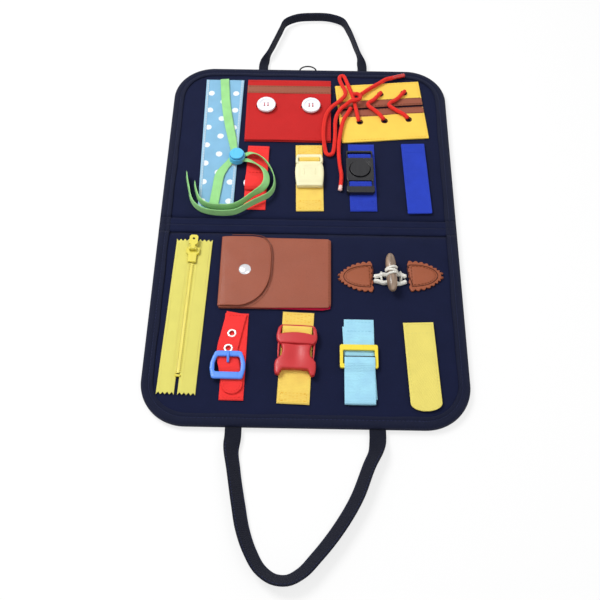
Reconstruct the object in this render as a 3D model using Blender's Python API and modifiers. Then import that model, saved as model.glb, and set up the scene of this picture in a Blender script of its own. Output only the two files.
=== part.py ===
"""Folding fabric busy board, lying open and flat on its back.

Metres, +Z up. The origin is the middle of the spine's underside, +X is to the right and +Y points
from the lower handle to the upper one. Each item stands in a holder, an empty on the panel's face.
"""

import math

import bmesh
import bpy
import numpy as np
from mathutils import Matrix, Vector

# Case
BOARD_WIDTH = 0.265
PANEL_LENGTH = 0.181
SPINE_WIDTH = 0.014
CORNER_RADIUS = 0.038
STIFFENER_THICK = 0.0026
CLOTH = 0.0008
BINDING_CLOTH = 0.0009
BINDING_WIDTH = 0.010
SPINE_ROUNDING = 0.0015

# Clearances and overruns
GAP = 0.0003
OVERRUN = 0.004
WELD = 0.000001

# Counts and angles
CORNER_STEPS = 10
SMALL_CORNER_STEPS = 3
CIRCLE_STEPS = 20
HOLE_STEPS = 12
SOFTEN_STEPS = 2
CORD_ROUND_STEPS = 2
TOO_SHARP = 0.6

# Heights, from the ground up
COVER_LOW = BINDING_CLOTH + GAP
CAVITY_LOW = COVER_LOW + CLOTH
STIFFENER_LOW = CAVITY_LOW + GAP
STIFFENER_HIGH = STIFFENER_LOW + STIFFENER_THICK
CAVITY_HIGH = STIFFENER_HIGH + GAP
FACE_TOP = CAVITY_HIGH + CLOTH
BOARD_TOP = FACE_TOP + GAP + BINDING_CLOTH
SEAT = FACE_TOP + GAP

# Places in plan
HALF_WIDTH = BOARD_WIDTH / 2
SPINE_HALF = SPINE_WIDTH / 2
PANEL_NEAR = SPINE_HALF + GAP
OUTER_EDGE = PANEL_NEAR + PANEL_LENGTH
LOWER = -1
UPPER = 1

# Panel side, shares of the half width and of the panel's length from the spine, turn in degrees
ITEM_PLACE_SHARES = {
    "dotted_patch": (UPPER, -0.630, 0.485, 0),
    "cord_lock": (UPPER, -0.502, 0.361, 0),
    "button_patch": (UPPER, -0.153, 0.702, 0),
    "lacing_patch": (UPPER, 0.521, 0.701, 5.3),
    "ring_strap": (UPPER, -0.361, 0.252, -1.1),
    "cream_strap": (UPPER, 0.006, 0.258, 1.3),
    "blue_strap": (UPPER, 0.373, 0.265, 1.0),
    "blue_tab": (UPPER, 0.746, 0.260, 2.2),
    "zipper": (LOWER, -0.764, 0.457, -1.6),
    "wallet": (LOWER, -0.203, 0.235, 0),
    "toggle": (LOWER, 0.541, 0.242, 2.0),
    "belt": (LOWER, -0.442, 0.670, -0.6),
    "release_strap": (LOWER, -0.062, 0.671, -2.2),
    "slide_strap": (LOWER, 0.329, 0.686, 0),
    "yellow_tab": (LOWER, 0.713, 0.707, 2.4),
}

# Webbing straps and their layers
WEBBING = 0.0013
SECOND_LAYER = WEBBING + GAP
THIRD_LAYER = SECOND_LAYER + SECOND_LAYER

# Handles and the closing loop
HANDLE_WIDTH = 0.016
HANDLE_THICK = 0.0018
HANDLE_SPACING = 0.009
HANDLE_HEIGHT = BOARD_TOP / 2
HANDLE_START = OUTER_EDGE + GAP + GAP + GAP
HANDLE_AXIS_OUT = 0.0020
LOOP_DIAMETER = 0.0014
LOOP_SPACING = 0.0035

# Dotted patch and its drawstring
PATCH_TOP_WIDTH = 0.0373
PATCH_BOTTOM_WIDTH = 0.0320
PATCH_LENGTH = 0.1545
PATCH_THICK = 0.0016
TAPE_WIDTH = 0.0085
TAPE_THICK = 0.0009
TAPE_SPACING = 0.0045

# Cord lock
LOCK_RADIUS = 0.0073
LOCK_HEIGHT = 0.0055
LOCK_FLOOR = 0.0008
TUNNEL_WIDTH = 0.0110
TUNNEL_HEIGHT = 0.0020
LOCK_BUTTON_RADIUS = 0.0063
LOCK_BUTTON_THICK = 0.0022
LOCK_STEM_RADIUS = 0.0023
LOCK_PRESS = 0.0015
LOCK_LOW = PATCH_THICK + GAP + TAPE_THICK + GAP

# Button patch
BUTTON_PATCH_WIDTH = 0.0817
BUTTON_PATCH_LENGTH = 0.0777
BUTTON_BACKING_THICK = 0.0012
BUTTON_FLAP_LENGTH = 0.0680
BUTTON_FLAP_THICK = 0.0012
BUTTON_FLAP_LIP = 0.0005
TRIM_WIDTH = 0.0100
TRIM_RISE = 0.0005
BUTTON_RADIUS = 0.0090
BUTTON_THICK = 0.0024
BUTTON_DISH_RADIUS = 0.0062
BUTTON_DISH = 0.0006
BUTTON_HOLE_DEEP = 0.0015
BUTTON_HOLE_RADIUS = 0.0009
BUTTON_HOLE_SPREAD = 0.0017
BUTTON_STAND = 0.0018
SHANK_RADIUS = 0.0012
SLIT_LENGTH = 0.0190
SLIT_WIDTH = 0.0034
BUTTON_SPACING = 0.0431
BUTTON_UP_SHARE = 0.03
BUTTON_UP = BUTTON_UP_SHARE * BUTTON_PATCH_LENGTH

# Lacing patch
LACING_WIDTH = 0.0828
LACING_LENGTH = 0.0715
LACING_THICK = 0.0016
LACING_GAP = 0.0030
LACING_GAP_UP = 0.0048
LACING_TRIM_WIDTH = 0.0090
LACE_HOLE_RADIUS = 0.0030
LACE_HOLE_REACH = 0.0169
LACE_HOLE_SHARES = (-0.266, 0.021, 0.302)
LACE_DIAMETER = 0.0034
LACE_SPACING = 0.0045

# Ring strap
RING_STRAP_WIDTH = 0.0200
RING_STRAP_LENGTH = 0.0717
RING_WIDTH = 0.0230
RING_LENGTH = 0.0090
RING_BAR = 0.0019
RING_THICK = 0.0020
RING_UP_SHARE = -0.11
RING_SLOPE = 0.0025

# Cream squeeze buckle on the yellow strap
WIDE_STRAP_WIDTH = 0.0250
CREAM_STRAP_LENGTH = 0.0753
CREAM_SOCKET_LENGTH = 0.0220
CREAM_SOCKET_HALF = 0.0126
CREAM_SOCKET_BULGE = 0.0020
CREAM_SOCKET_HEIGHT = 0.0055
CREAM_SOCKET_TOP = 0.0120
CREAM_CLIP_LENGTH = 0.0107
CREAM_CLIP_HALF = 0.0108
CREAM_CLIP_HEIGHT = 0.0045
CREAM_BAR = 0.0048
CREAM_RAIL = 0.0026
CREAM_PRONG_HALF = 0.0064
CREAM_PRONG_LENGTH = 0.0160
CREAM_PRONG_THICK = 0.0022
CREAM_RECESS_HALF = 0.0096
CREAM_RECESS_LENGTH = 0.0085
CREAM_RECESS = 0.0005
CREAM_SLOT_LENGTH = 0.0030

# Black centre button buckle on the blue strap
BLUE_STRAP_WIDTH = 0.0245
BLUE_STRAP_LENGTH = 0.0765
BLACK_WIDTH = 0.0258
BLACK_LENGTH = 0.0486
BLACK_HEIGHT = 0.0050
BLACK_CORNER = 0.0030
BLACK_SIDE_SHIFT = 0.0023
BLACK_UP_SHIFT = 0.0031
BLACK_WINDOW_HALF = 0.0095
BLACK_TOP_BAR = 0.0026
BLACK_TOP_WINDOW = 0.0056
BLACK_LOW_BAR = 0.0062
BLACK_LOW_WINDOW = 0.0066
BLACK_BUTTON_RADIUS = 0.0091
BLACK_BUTTON_THICK = 0.0034
BLACK_BUTTON_PROUD = 0.0010
BLACK_BUTTON_UP = 0.0020
BLACK_PRESS = 0.0015
BLACK_GROOVE_OUT = 0.0114
BLACK_GROOVE_IN = 0.0106
BLACK_GROOVE = 0.0004

# Hook and loop tabs
BLUE_TAB_WIDTH = 0.0220
BLUE_TAB_LENGTH = 0.0795
YELLOW_TAB_WIDTH = 0.0252
YELLOW_TAB_LENGTH = 0.0785
TAB_BASE_THICK = 0.0010
TAB_FLAP_THICK = 0.0012
TAB_BASE_INSET = 0.0008
TAB_TIP_RISE = 0.0070
TAB_CORNER = 0.0008

# Zip
ZIP_LENGTH = 0.1475
ZIP_WIDTH = 0.0315
ZIP_TAPE_THICK = 0.0010
ZIP_SLIT_HALF = 0.0013
ZIP_PINK_TEETH = 3
ZIP_PINK_DEPTH = 0.0022
TOOTH = 0.0015
TOOTH_PITCH = TOOTH + GAP + TOOTH + GAP
TOOTH_REACH = 0.0011
TOOTH_ROOT = TOOTH_REACH + GAP
TOOTH_STRIP = 0.0029
TOOTH_HEIGHT = 0.0020
CHAIN_TOP_SPARE = 0.0070
CHAIN_BOTTOM_SPARE = 0.0170
SLIDER_WIDTH = 0.0115
SLIDER_LENGTH = 0.0145
SLIDER_PLATE = 0.0016
SLIDER_TOP_SPARE = 0.0105
SLIDER_NOSE_SHARE = 0.62
EAR_GAP_HALF = 0.0022
EAR_THICK = 0.0010
EAR_LENGTH = 0.0030
PIN_RADIUS = 0.0007
PIN_RISE = 0.0021
PIN_BACK = 0.0022
EYE_RADIUS = 0.0017
PULL_WIDTH = 0.0074
PULL_LENGTH = 0.0134
PULL_THICK = 0.0015
PULL_NECK_HALF = 0.0018
PULL_NECK_LENGTH = 0.0034
PULL_HOLE_RADIUS = 0.0012

# Wallet
WALLET_WIDTH = 0.0950
WALLET_LENGTH = 0.0698
LEATHER = 0.0010
LINING = 0.0004
LINING_PROUD = 0.0010
LINING_SIDE_INSET = 0.0006
FLAP_LEATHER = 0.0012
FLAP_LENGTH = 0.0440
FLAP_SHOULDER_SHARES = ((0.83, 0.97), (0.99, 0.76), (0.98, 0.42), (0.78, 0.15), (0.49, 0.04))
SNAP_RADIUS = 0.0056
SNAP_HEIGHT = 0.0022
SNAP_ALONG_SHARE = 0.48
SNAP_SHARE = 0.49
SNAP_PROFILE_SHARES = ((0.0, 1.0), (0.5, 0.9), (0.9, 0.5), (1.0, 0.0), (0.0, 0.0))

# Toggle fastener
PAD_LENGTH = 0.0305
PAD_WIDTH = 0.0305
PAD_THICK = 0.0024
PAD_SPREAD = 0.0150
PAD_SERRATIONS = 11
PAD_NOTCH = 0.0011
PAD_BLUNT_SHARE = 0.05
PAD_CURVE = 1.9
TOGGLE_LENGTH = 0.0364
TOGGLE_RADIUS_SHARES = ((0.0, 0.78), (0.10, 0.80), (0.22, 0.97), (0.55, 1.0), (0.85, 0.80), (1.0, 0.42))
TOGGLE_RADIUS = 0.0045
TOGGLE_CORD = 0.0030
TOGGLE_CORD_SPACING = 0.0040

# Belt
BELT_WIDTH = 0.0196
BELT_LENGTH = 0.0780
TONGUE_WIDTH = 0.0172
TONGUE_LENGTH = 0.0728
TONGUE_LEAN = 0.0056
TONGUE_KNEE_SHARE = 0.52
EYELET_RADIUS = 0.0025
EYELET_PITCH = 0.0137
EYELET_FIRST = 0.0193
BELT_FRAME_LENGTH = 0.0255
BELT_FRAME_TOP_HALF = 0.0109
BELT_FRAME_MIDDLE_HALF = 0.0143
BELT_FRAME_BOTTOM_HALF = 0.0110
BELT_FRAME_TOP_BAR = 0.0055
BELT_FRAME_BOTTOM_BAR = 0.0065
BELT_FRAME_RAIL = 0.0036
BELT_FRAME_THICK = 0.0026
BELT_FRAME_DOWN = 0.0100
BELT_PIN_HALF = 0.0012
BELT_FRAME_SIDE = 0.0042
BELT_PIN_RISE = 0.0012

# Red side release buckle
RELEASE_STRAP_WIDTH = 0.0262
RELEASE_STRAP_LENGTH = 0.0822
RELEASE_HEIGHT = 0.0062
RELEASE_MOUTH_UP = 0.0090
WAIST_HALF = 0.0096
WAIST_LENGTH = 0.0123
FLARE_HALF = 0.0164
FLARE_DOWN = 0.0090
EAR_DROP = 0.0158
EAR_HALF_OUT = 0.0150
EAR_HALF_IN = 0.0100
EAR_NOTCH = 0.0053
CLIP_HEAD_LENGTH = 0.0184
CLIP_HEAD_HALF = 0.0120
CLIP_SHOULDER_HALF = 0.0168
CLIP_SHOULDER_LENGTH = 0.0070
CLIP_WINDOW_HALF = 0.0092
CLIP_BAR = 0.0032
CLIP_WINDOW_LENGTH = 0.0066
ARM_WIDTH = 0.0032
ARM_LENGTH = 0.0196
ARM_THICK = 0.0026
BARB = 0.0006
SOCKET_CHAMFER = 0.0018
CLIP_ARCH = 0.0011
GUIDE_HALF = 0.0042
GUIDE_LENGTH = 0.0150
SOCKET_WALL = 0.0012

# Yellow slide on the light blue strap
SLIDE_STRAP_WIDTH = 0.0248
SLIDE_STRAP_LENGTH = 0.0760
SLIDE_TOP_LAYER_LENGTH = 0.0382
SLIDE_SLOPE_START = 0.0100
SLIDE_SLOPE = 0.0060
SLIDE_WIDTH = 0.0312
SLIDE_LENGTH = 0.0210
SLIDE_TOP_BAR = 0.0050
SLIDE_LOW_BAR = 0.0040
SLIDE_RAIL = 0.0028
SLIDE_THICK = 0.0024
SLIDE_CORNER = 0.0016
SLIDE_DOWN = 0.0075
SLIDE_SIDE_SHIFT = 0.0005

# Moulding edges
SOFT_EDGE = 0.0005

# Handles: x, distance out from the handle's start, z, lean in degrees and share of the width
LOWER_HANDLE_ROUTE = (
    (-0.0560, 0, HANDLE_HEIGHT, 0, 1),
    (-0.0560, 0.0066, HANDLE_HEIGHT, 4, 1),
    (-0.0566, 0.0171, 0.0056, 30, 1),
    (-0.0540, 0.0331, 0.0064, 40, 1),
    (-0.0485, 0.0621, 0.0064, 40, 1),
    (-0.0450, 0.0781, 0.0064, 40, 1),
    (-0.0385, 0.0951, 0.0065, 42, 1),
    (-0.0305, 0.1076, 0.0066, 44, 1),
    (-0.0205, 0.1141, 0.0068, 46, 1),
    (-0.0105, 0.1146, 0.0068, 46, 1),
    (-0.0010, 0.1096, 0.0066, 44, 1),
    (0.0100, 0.0981, 0.0065, 42, 1),
    (0.0250, 0.0791, 0.0064, 40, 1),
    (0.0397, 0.0546, 0.0064, 40, 1),
    (0.0500, 0.0286, 0.0064, 40, 1),
    (0.0556, 0.0161, 0.0056, 30, 1),
    (0.0570, 0.0066, HANDLE_HEIGHT, 4, 1),
    (0.0570, 0, HANDLE_HEIGHT, 0, 1),
)
UPPER_HANDLE_ROUTE = (
    (0.0520, 0, HANDLE_HEIGHT, 0, 1),
    (0.0520, 0.0061, 0.0038, 4, 1),
    (0.0495, 0.0171, 0.0070, 42, 1),
    (0.0450, 0.0331, 0.0086, 70, 1),
    (0.0385, 0.0541, 0.0088, 75, 1),
    (0.0330, 0.0656, 0.0088, 75, 1),
    (0.0220, 0.0711, 0.0088, 75, 1),
    (0.0020, 0.0726, 0.0088, 75, 1),
    (-0.0170, 0.0696, 0.0088, 75, 1),
    (-0.0262, 0.0636, 0.0088, 75, 1),
    (-0.0310, 0.0511, 0.0088, 75, 1),
    (-0.0368, 0.0341, 0.0086, 70, 1),
    (-0.0430, 0.0171, 0.0070, 42, 1),
    (-0.0468, 0.0061, 0.0038, 4, 1),
    (-0.0468, 0, HANDLE_HEIGHT, 0, 1),
)

# Drawstring: x, y, z, lean in degrees and share of the width
DRAWSTRING_RUN_ROUTE = (
    (-0.0842, 0.1715, 0.00865, 0, 1),
    (-0.0810, 0.1400, 0.00865, 0, 1),
    (-0.0757, 0.1100, 0.00865, 0, 1),
    (-0.0718, 0.0920, 0.00865, 0, 0.90),
    (-0.0702, 0.0810, 0.00865, 0, 0.72),
    (-0.0708, 0.0750, 0.00865, 0, 0.70),
    (-0.0730, 0.0695, 0.00865, 0, 0.70),
    (-0.0765, 0.0640, 0.00865, 0, 0.80),
    (-0.0812, 0.0550, 0.00865, 0, 1),
    (-0.0832, 0.0400, 0.00865, 0, 1),
    (-0.0842, 0.0300, 0.00865, 0, 1),
    (-0.0850, 0.0208, 0.00865, 0, 1),
)
DRAWSTRING_END_A_ROUTE = (
    (-0.0638, 0.07515, 0.0112, 0, 0.56),
    (-0.0592, 0.0754, 0.0112, 0, 0.56),
    (-0.0545, 0.0768, 0.0121, 20, 0.85),
    (-0.0492, 0.0760, 0.0123, 33, 1),
    (-0.0435, 0.0715, 0.0128, 42, 1),
    (-0.0386, 0.0652, 0.0131, 52, 1),
    (-0.0340, 0.0575, 0.0124, 60, 1),
    (-0.0314, 0.0505, 0.0110, 64, 1),
    (-0.0309, 0.0420, 0.0106, 65, 1),
    (-0.0326, 0.0350, 0.0112, 65, 1),
    (-0.0364, 0.0290, 0.0122, 64, 1),
    (-0.0420, 0.0252, 0.0124, 64, 1),
    (-0.0475, 0.0218, 0.0124, 64, 1),
    (-0.0535, 0.0178, 0.0124, 64, 1),
    (-0.0596, 0.0136, 0.0118, 64, 1),
    (-0.0655, 0.0112, 0.0109, 65, 1),
    (-0.0716, 0.0102, 0.0106, 65, 1),
    (-0.0780, 0.0100, 0.0106, 65, 1),
    (-0.0843, 0.0104, 0.0106, 65, 1),
    (-0.0905, 0.0116, 0.0106, 65, 1),
    (-0.0968, 0.0142, 0.0106, 65, 1),
    (-0.1020, 0.0186, 0.0106, 65, 1),
    (-0.1055, 0.0248, 0.0106, 65, 1),
    (-0.1082, 0.0353, 0.0106, 65, 1),
    (-0.1102, 0.0440, 0.0105, 63, 1),
    (-0.1120, 0.0533, 0.0104, 60, 1),
)
DRAWSTRING_END_B_ROUTE = (
    (-0.0638, 0.06965, 0.0112, 0, 0.56),
    (-0.0592, 0.0694, 0.0112, 0, 0.56),
    (-0.0545, 0.0676, 0.0121, 20, 0.85),
    (-0.0490, 0.0645, 0.0124, 32, 1),
    (-0.0440, 0.0605, 0.0131, 32, 1),
    (-0.0405, 0.0555, 0.0142, 27, 1),
    (-0.0384, 0.0490, 0.0145, 25, 1),
    (-0.0386, 0.0415, 0.0145, 25, 1),
    (-0.0422, 0.0350, 0.0142, 36, 1),
    (-0.0490, 0.0305, 0.0130, 52, 1),
    (-0.0552, 0.0248, 0.0126, 60, 1),
    (-0.0614, 0.0194, 0.0126, 64, 1),
    (-0.0664, 0.0165, 0.0126, 65, 1),
    (-0.0715, 0.0154, 0.0126, 65, 1),
    (-0.0780, 0.0152, 0.0126, 65, 1),
    (-0.0845, 0.0156, 0.0126, 65, 1),
    (-0.0898, 0.0169, 0.0126, 65, 1),
    (-0.0944, 0.0195, 0.0126, 65, 1),
    (-0.0980, 0.0234, 0.0126, 65, 1),
    (-0.1003, 0.0288, 0.0126, 65, 1),
    (-0.1022, 0.0352, 0.0126, 65, 1),
    (-0.1035, 0.0412, 0.0126, 63, 1),
)

# Routes of the round cords: x, y, z
# Closing loop: x and distance out from the edge
CLOSING_LOOP_ROUTE = (
    (-0.0103, 0),
    (-0.0101, 0.0029),
    (-0.0068, 0.0062),
    (-0.0023, 0.0072),
    (0.0022, 0.0062),
    (0.0055, 0.0029),
    (0.0057, 0),
)

# Lace and toggle cords: x, y, z
LACE_CROSS_RIGHT_ROUTE = (
    (0.0927, 0.1584, 0.0097),
    (0.0898, 0.1540, 0.0106),
    (0.0862, 0.1493, 0.0103),
    (0.0815, 0.1448, 0.0106),
    (0.0778, 0.1424, 0.0107),
    (0.0766, 0.1396, 0.0107),
    (0.0787, 0.1367, 0.0107),
    (0.0832, 0.1332, 0.0105),
    (0.0904, 0.1280, 0.0106),
    (0.0942, 0.1245, 0.0097),
)
LACE_CROSS_MIDDLE_ROUTE = (
    (0.0694, 0.1562, 0.0097),
    (0.0668, 0.1520, 0.0106),
    (0.0640, 0.1486, 0.0103),
    (0.0608, 0.1448, 0.0106),
    (0.0574, 0.1423, 0.0107),
    (0.0562, 0.1395, 0.0107),
    (0.0582, 0.1366, 0.0107),
    (0.0622, 0.1330, 0.0105),
    (0.0676, 0.1268, 0.0106),
    (0.0711, 0.1223, 0.0097),
)
LACE_BOW_ROUTE = (
    (0.0472, 0.1201, 0.0097),
    (0.0460, 0.1250, 0.0106),
    (0.0448, 0.1320, 0.0107),
    (0.0437, 0.1390, 0.0107),
    (0.0426, 0.1460, 0.0108),
    (0.0404, 0.1540, 0.0106),
    (0.0377, 0.1630, 0.0104),
    (0.0355, 0.1705, 0.0099),
    (0.0338, 0.1755, 0.0095),
    (0.0315, 0.1775, 0.0094),
    (0.0293, 0.1760, 0.0095),
    (0.0295, 0.1705, 0.0098),
    (0.0315, 0.1640, 0.0104),
    (0.0340, 0.1575, 0.0107),
    (0.0345, 0.1515, 0.0110),
    (0.0310, 0.1455, 0.0113),
    (0.0262, 0.1402, 0.0114),
    (0.0205, 0.1340, 0.0116),
    (0.0163, 0.1258, 0.0115),
    (0.0140, 0.1140, 0.0113),
    (0.0133, 0.1015, 0.0112),
    (0.0139, 0.0925, 0.0104),
    (0.0150, 0.0845, 0.0089),
    (0.0172, 0.0792, 0.0084),
    (0.0201, 0.0790, 0.0084),
    (0.0223, 0.0832, 0.0084),
    (0.0235, 0.0900, 0.0085),
    (0.0243, 0.0980, 0.0086),
    (0.0246, 0.1080, 0.0087),
    (0.0247, 0.1180, 0.0097),
    (0.0262, 0.1262, 0.0098),
    (0.0300, 0.1336, 0.0107),
    (0.0352, 0.1382, 0.0116),
    (0.0396, 0.1408, 0.0140),
    (0.0436, 0.1413, 0.0148),
    (0.0478, 0.1430, 0.0144),
    (0.0488, 0.1468, 0.0142),
    (0.0460, 0.1494, 0.0145),
    (0.0424, 0.1488, 0.0148),
)
LACE_END_LEFT_ROUTE = (
    (0.0396, 0.1348, 0.0106),
    (0.0366, 0.1285, 0.0105),
    (0.0330, 0.1210, 0.0105),
    (0.0307, 0.1120, 0.0104),
    (0.0293, 0.1030, 0.0103),
    (0.0283, 0.0955, 0.0098),
    (0.0278, 0.0870, 0.0088),
    (0.0280, 0.0780, 0.0084),
    (0.0289, 0.0660, 0.0084),
    (0.0302, 0.0550, 0.0084),
    (0.0296, 0.0460, 0.0084),
    (0.0288, 0.0388, 0.0084),
)
LACE_END_RIGHT_ROUTE = (
    (0.0500, 0.1522, 0.0112),
    (0.0555, 0.1578, 0.0106),
    (0.0623, 0.1634, 0.0104),
    (0.0690, 0.1684, 0.0104),
    (0.0748, 0.1727, 0.0106),
    (0.0810, 0.1756, 0.0095),
    (0.0870, 0.1777, 0.0094),
    (0.0932, 0.1793, 0.0095),
)
TOGGLE_CORD_LEFT_ROUTE = (
    (0.0577, -0.0515, 0.0081),
    (0.0610, -0.0510, 0.0081),
    (0.0655, -0.0495, 0.0081),
    (0.0690, -0.0503, 0.0081),
    (0.0706, -0.0535, 0.0081),
    (0.0690, -0.0568, 0.0081),
    (0.0655, -0.0577, 0.0081),
    (0.0610, -0.0563, 0.0081),
    (0.0577, -0.0559, 0.0081),
)
TOGGLE_CORD_RIGHT_ROUTE = (
    (0.0845, -0.0512, 0.0081),
    (0.0805, -0.0496, 0.0081),
    (0.0772, -0.0490, 0.0081),
    (0.0748, -0.0508, 0.0081),
    (0.0742, -0.0538, 0.0081),
    (0.0750, -0.0567, 0.0081),
    (0.0775, -0.0584, 0.0081),
    (0.0808, -0.0577, 0.0081),
    (0.0845, -0.0562, 0.0081),
)

# Colours as 8 bit sRGB, roughness and metallic value
LOOK_VALUES = {
    "navy_cloth": ((30, 34, 66), 0.85, 0),
    "navy_binding": ((44, 46, 78), 0.80, 0),
    "board": ((150, 130, 100), 0.90, 0),
    "black_elastic": ((24, 24, 28), 0.70, 0),
    "dotted_cloth": ((160, 200, 235), 0.80, 0),
    "green_tape": ((150, 225, 125), 0.70, 0),
    "sky_plastic": ((90, 190, 235), 0.35, 0),
    "red_cloth": ((208, 48, 48), 0.80, 0),
    "white_plastic": ((245, 245, 240), 0.30, 0),
    "yellow_cloth": ((248, 205, 60), 0.80, 0),
    "red_lace": ((240, 55, 45), 0.65, 0),
    "red_webbing": ((230, 50, 52), 0.75, 0),
    "yellow_webbing": ((250, 205, 90), 0.75, 0),
    "cream_plastic": ((244, 240, 200), 0.35, 0),
    "blue_webbing": ((45, 70, 190), 0.75, 0),
    "black_plastic": ((50, 50, 52), 0.40, 0),
    "blue_tab_cloth": ((38, 66, 190), 0.85, 0),
    "zip_yellow": ((232, 222, 100), 0.70, 0),
    "brown_leather": ((160, 93, 70), 0.55, 0),
    "crimson_cloth": ((150, 10, 45), 0.80, 0),
    "snap_metal": ((215, 215, 220), 0.25, 1),
    "tan_leather": ((190, 105, 60), 0.55, 0),
    "natural_cord": ((235, 230, 220), 0.75, 0),
    "horn": ((150, 130, 115), 0.40, 0),
    "blue_plastic": ((80, 140, 240), 0.35, 0),
    "red_plastic": ((205, 60, 65), 0.35, 0),
    "light_blue_webbing": ((165, 225, 255), 0.75, 0),
    "yellow_plastic": ((235, 215, 80), 0.35, 0),
    "yellow_tab_cloth": ((232, 216, 112), 0.85, 0),
}


def clear_scene():
    for obj in list(bpy.data.objects):
        bpy.data.objects.remove(obj)


def new_collection(name):
    collection = bpy.data.collections.new(name)
    bpy.context.scene.collection.children.link(collection)
    return collection


clear_scene()
PARTS = new_collection("busy_board")
CUTTERS = new_collection("cutters")
HOLDERS = {}
LOOKS = {}


def linear(level):
    share = level / 255
    return share / 12.92 if share <= 0.04045 else ((share + 0.055) / 1.055) ** 2.4


def make_looks():
    for name, (colour, roughness, metallic) in LOOK_VALUES.items():
        look = bpy.data.materials.new(name)
        look.use_nodes = True
        shader = look.node_tree.nodes["Principled BSDF"]
        shader.inputs["Base Color"].default_value = (*(linear(level) for level in colour), 1)
        shader.inputs["Roughness"].default_value = roughness
        shader.inputs["Metallic"].default_value = metallic
        LOOKS[name] = look


def new_holder(name, place, parent=None, turn=0):
    """An empty at a world place; its parents are only ever shifted, never turned"""
    holder = bpy.data.objects.new(name + "_holder", None)
    PARTS.objects.link(holder)
    holder.location = place
    holder.rotation_euler.z = math.radians(turn)
    if parent:
        holder.parent = HOLDERS[parent]
        holder.matrix_parent_inverse = HOLDERS[parent].matrix_world.inverted()
    HOLDERS[name] = holder
    bpy.context.view_layer.update()


def make_holders():
    new_holder("lower_panel", (0, 0, 0))
    new_holder("spine", (0, -SPINE_HALF, BOARD_TOP), "lower_panel")
    new_holder("upper_panel_axis", (0, SPINE_HALF, BOARD_TOP), "spine")
    new_holder("upper_panel", (0, 0, 0), "upper_panel_axis")
    new_holder("ground", (0, 0, 0), "lower_panel")
    for name, (side, across_share, along_share, turn) in ITEM_PLACE_SHARES.items():
        place = (across_share * HALF_WIDTH, side * (SPINE_HALF + along_share * PANEL_LENGTH), SEAT)
        new_holder(name, place, "upper_panel" if side == UPPER else "lower_panel", turn)


def new_object(name, data, holder, look):
    obj = bpy.data.objects.new(name, data)
    PARTS.objects.link(obj)
    obj.parent = HOLDERS[holder]
    data.materials.append(LOOKS[look])
    return obj


def meshed(guide, name, holder, look, turn=None):
    """The mesh of a curve guide, with its loose caps welded on"""
    bpy.context.view_layer.update()
    graph = bpy.context.evaluated_depsgraph_get()
    mesh = bpy.data.meshes.new_from_object(guide.evaluated_get(graph))
    bpy.data.objects.remove(guide)
    mesh.materials.clear()
    shape = bmesh.new()
    shape.from_mesh(mesh)
    bmesh.ops.remove_doubles(shape, verts=shape.verts, dist=WELD)
    if turn:
        bmesh.ops.transform(shape, matrix=turn, verts=shape.verts)
    bmesh.ops.recalc_face_normals(shape, faces=shape.faces)
    shape.to_mesh(mesh)
    shape.free()
    mesh.name = name
    return new_object(name, mesh, holder, look)


def flat_shape(name, loops, low, high, holder, look, turn=None):
    """A filled flat outline with its holes, thickened from low to high"""
    curve = bpy.data.curves.new(name + "_outline", "CURVE")
    curve.dimensions = "2D"
    curve.fill_mode = "BOTH"
    curve.extrude = (high - low) / 2
    for loop in loops:
        spline = curve.splines.new("POLY")
        spline.points.add(len(loop) - 1)
        spline.use_cyclic_u = True
        for point, (x, y) in zip(spline.points, loop):
            point.co = (x, y, 0, 1)
    guide = bpy.data.objects.new(name + "_outline", curve)
    bpy.context.scene.collection.objects.link(guide)
    lift = Matrix.Translation((0, 0, (low + high) / 2))
    return meshed(guide, name, holder, look, turn @ lift if turn else lift)


# Outline x and y become y and z, and the thickness runs along x
SIDEWAYS = Matrix(((0, 0, 1, 0), (1, 0, 0, 0), (0, 1, 0, 0), (0, 0, 0, 1)))


def side_shape(name, loops, half_width, holder, look):
    """A side view outline, thickened to both sides of the middle"""
    return flat_shape(name, loops, -half_width, half_width, holder, look, SIDEWAYS)


def set_pivot(obj, place):
    """Moves the origin to the joint's axis and leaves the shape where it is"""
    bpy.context.view_layer.update()
    offset = Vector(place) - obj.location
    obj.data.transform(Matrix.Translation(-offset))
    obj.location = place


def as_cutter(obj):
    PARTS.objects.unlink(obj)
    CUTTERS.objects.link(obj)
    obj.hide_render = True
    obj.display_type = "WIRE"
    return obj


def combine(obj, other, operation):
    modifier = obj.modifiers.new(other.name, "BOOLEAN")
    modifier.operation = operation
    modifier.solver = "EXACT"
    modifier.object = as_cutter(other)
    return obj


def cut(obj, other):
    return combine(obj, other, "DIFFERENCE")


def fuse(obj, other):
    return combine(obj, other, "UNION")


def soften(obj, width, steps=SOFTEN_STEPS):
    modifier = obj.modifiers.new("soft_edges", "BEVEL")
    modifier.width = width
    modifier.segments = steps
    modifier.limit_method = "ANGLE"
    modifier.angle_limit = TOO_SHARP
    return obj


def arc(centre, radius, start, end, steps):
    angles = [math.radians(start + (end - start) * step / steps) for step in range(steps + 1)]
    return [(centre[0] + radius * math.cos(a), centre[1] + radius * math.sin(a)) for a in angles]


def circle(radius, steps=CIRCLE_STEPS, centre=(0, 0)):
    return arc(centre, radius, 0, 360, steps)[:-1]


def rectangle(left, right, low, high, radius=0):
    if not radius:
        return [(left, low), (right, low), (right, high), (left, high)]
    corners = [(right, high, 0, -1, -1), (left, high, 90, 1, -1)]
    corners += [(left, low, 180, 1, 1), (right, low, 270, -1, 1)]
    points = []
    for x, y, start, to_x, to_y in corners:
        centre = (x + to_x * radius, y + to_y * radius)
        points += arc(centre, radius, start, start + 90, SMALL_CORNER_STEPS)
    return points


def mirrored(points):
    """A whole outline from its right half, whose ends lie on the middle line and on straight edges"""
    half = points[1:-1]
    return half + [(-x, y) for x, y in reversed(half)]


def box(name, left, right, near, far, low, high, holder, look):
    return flat_shape(name, [rectangle(left, right, near, far)], low, high, holder, look)


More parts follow.
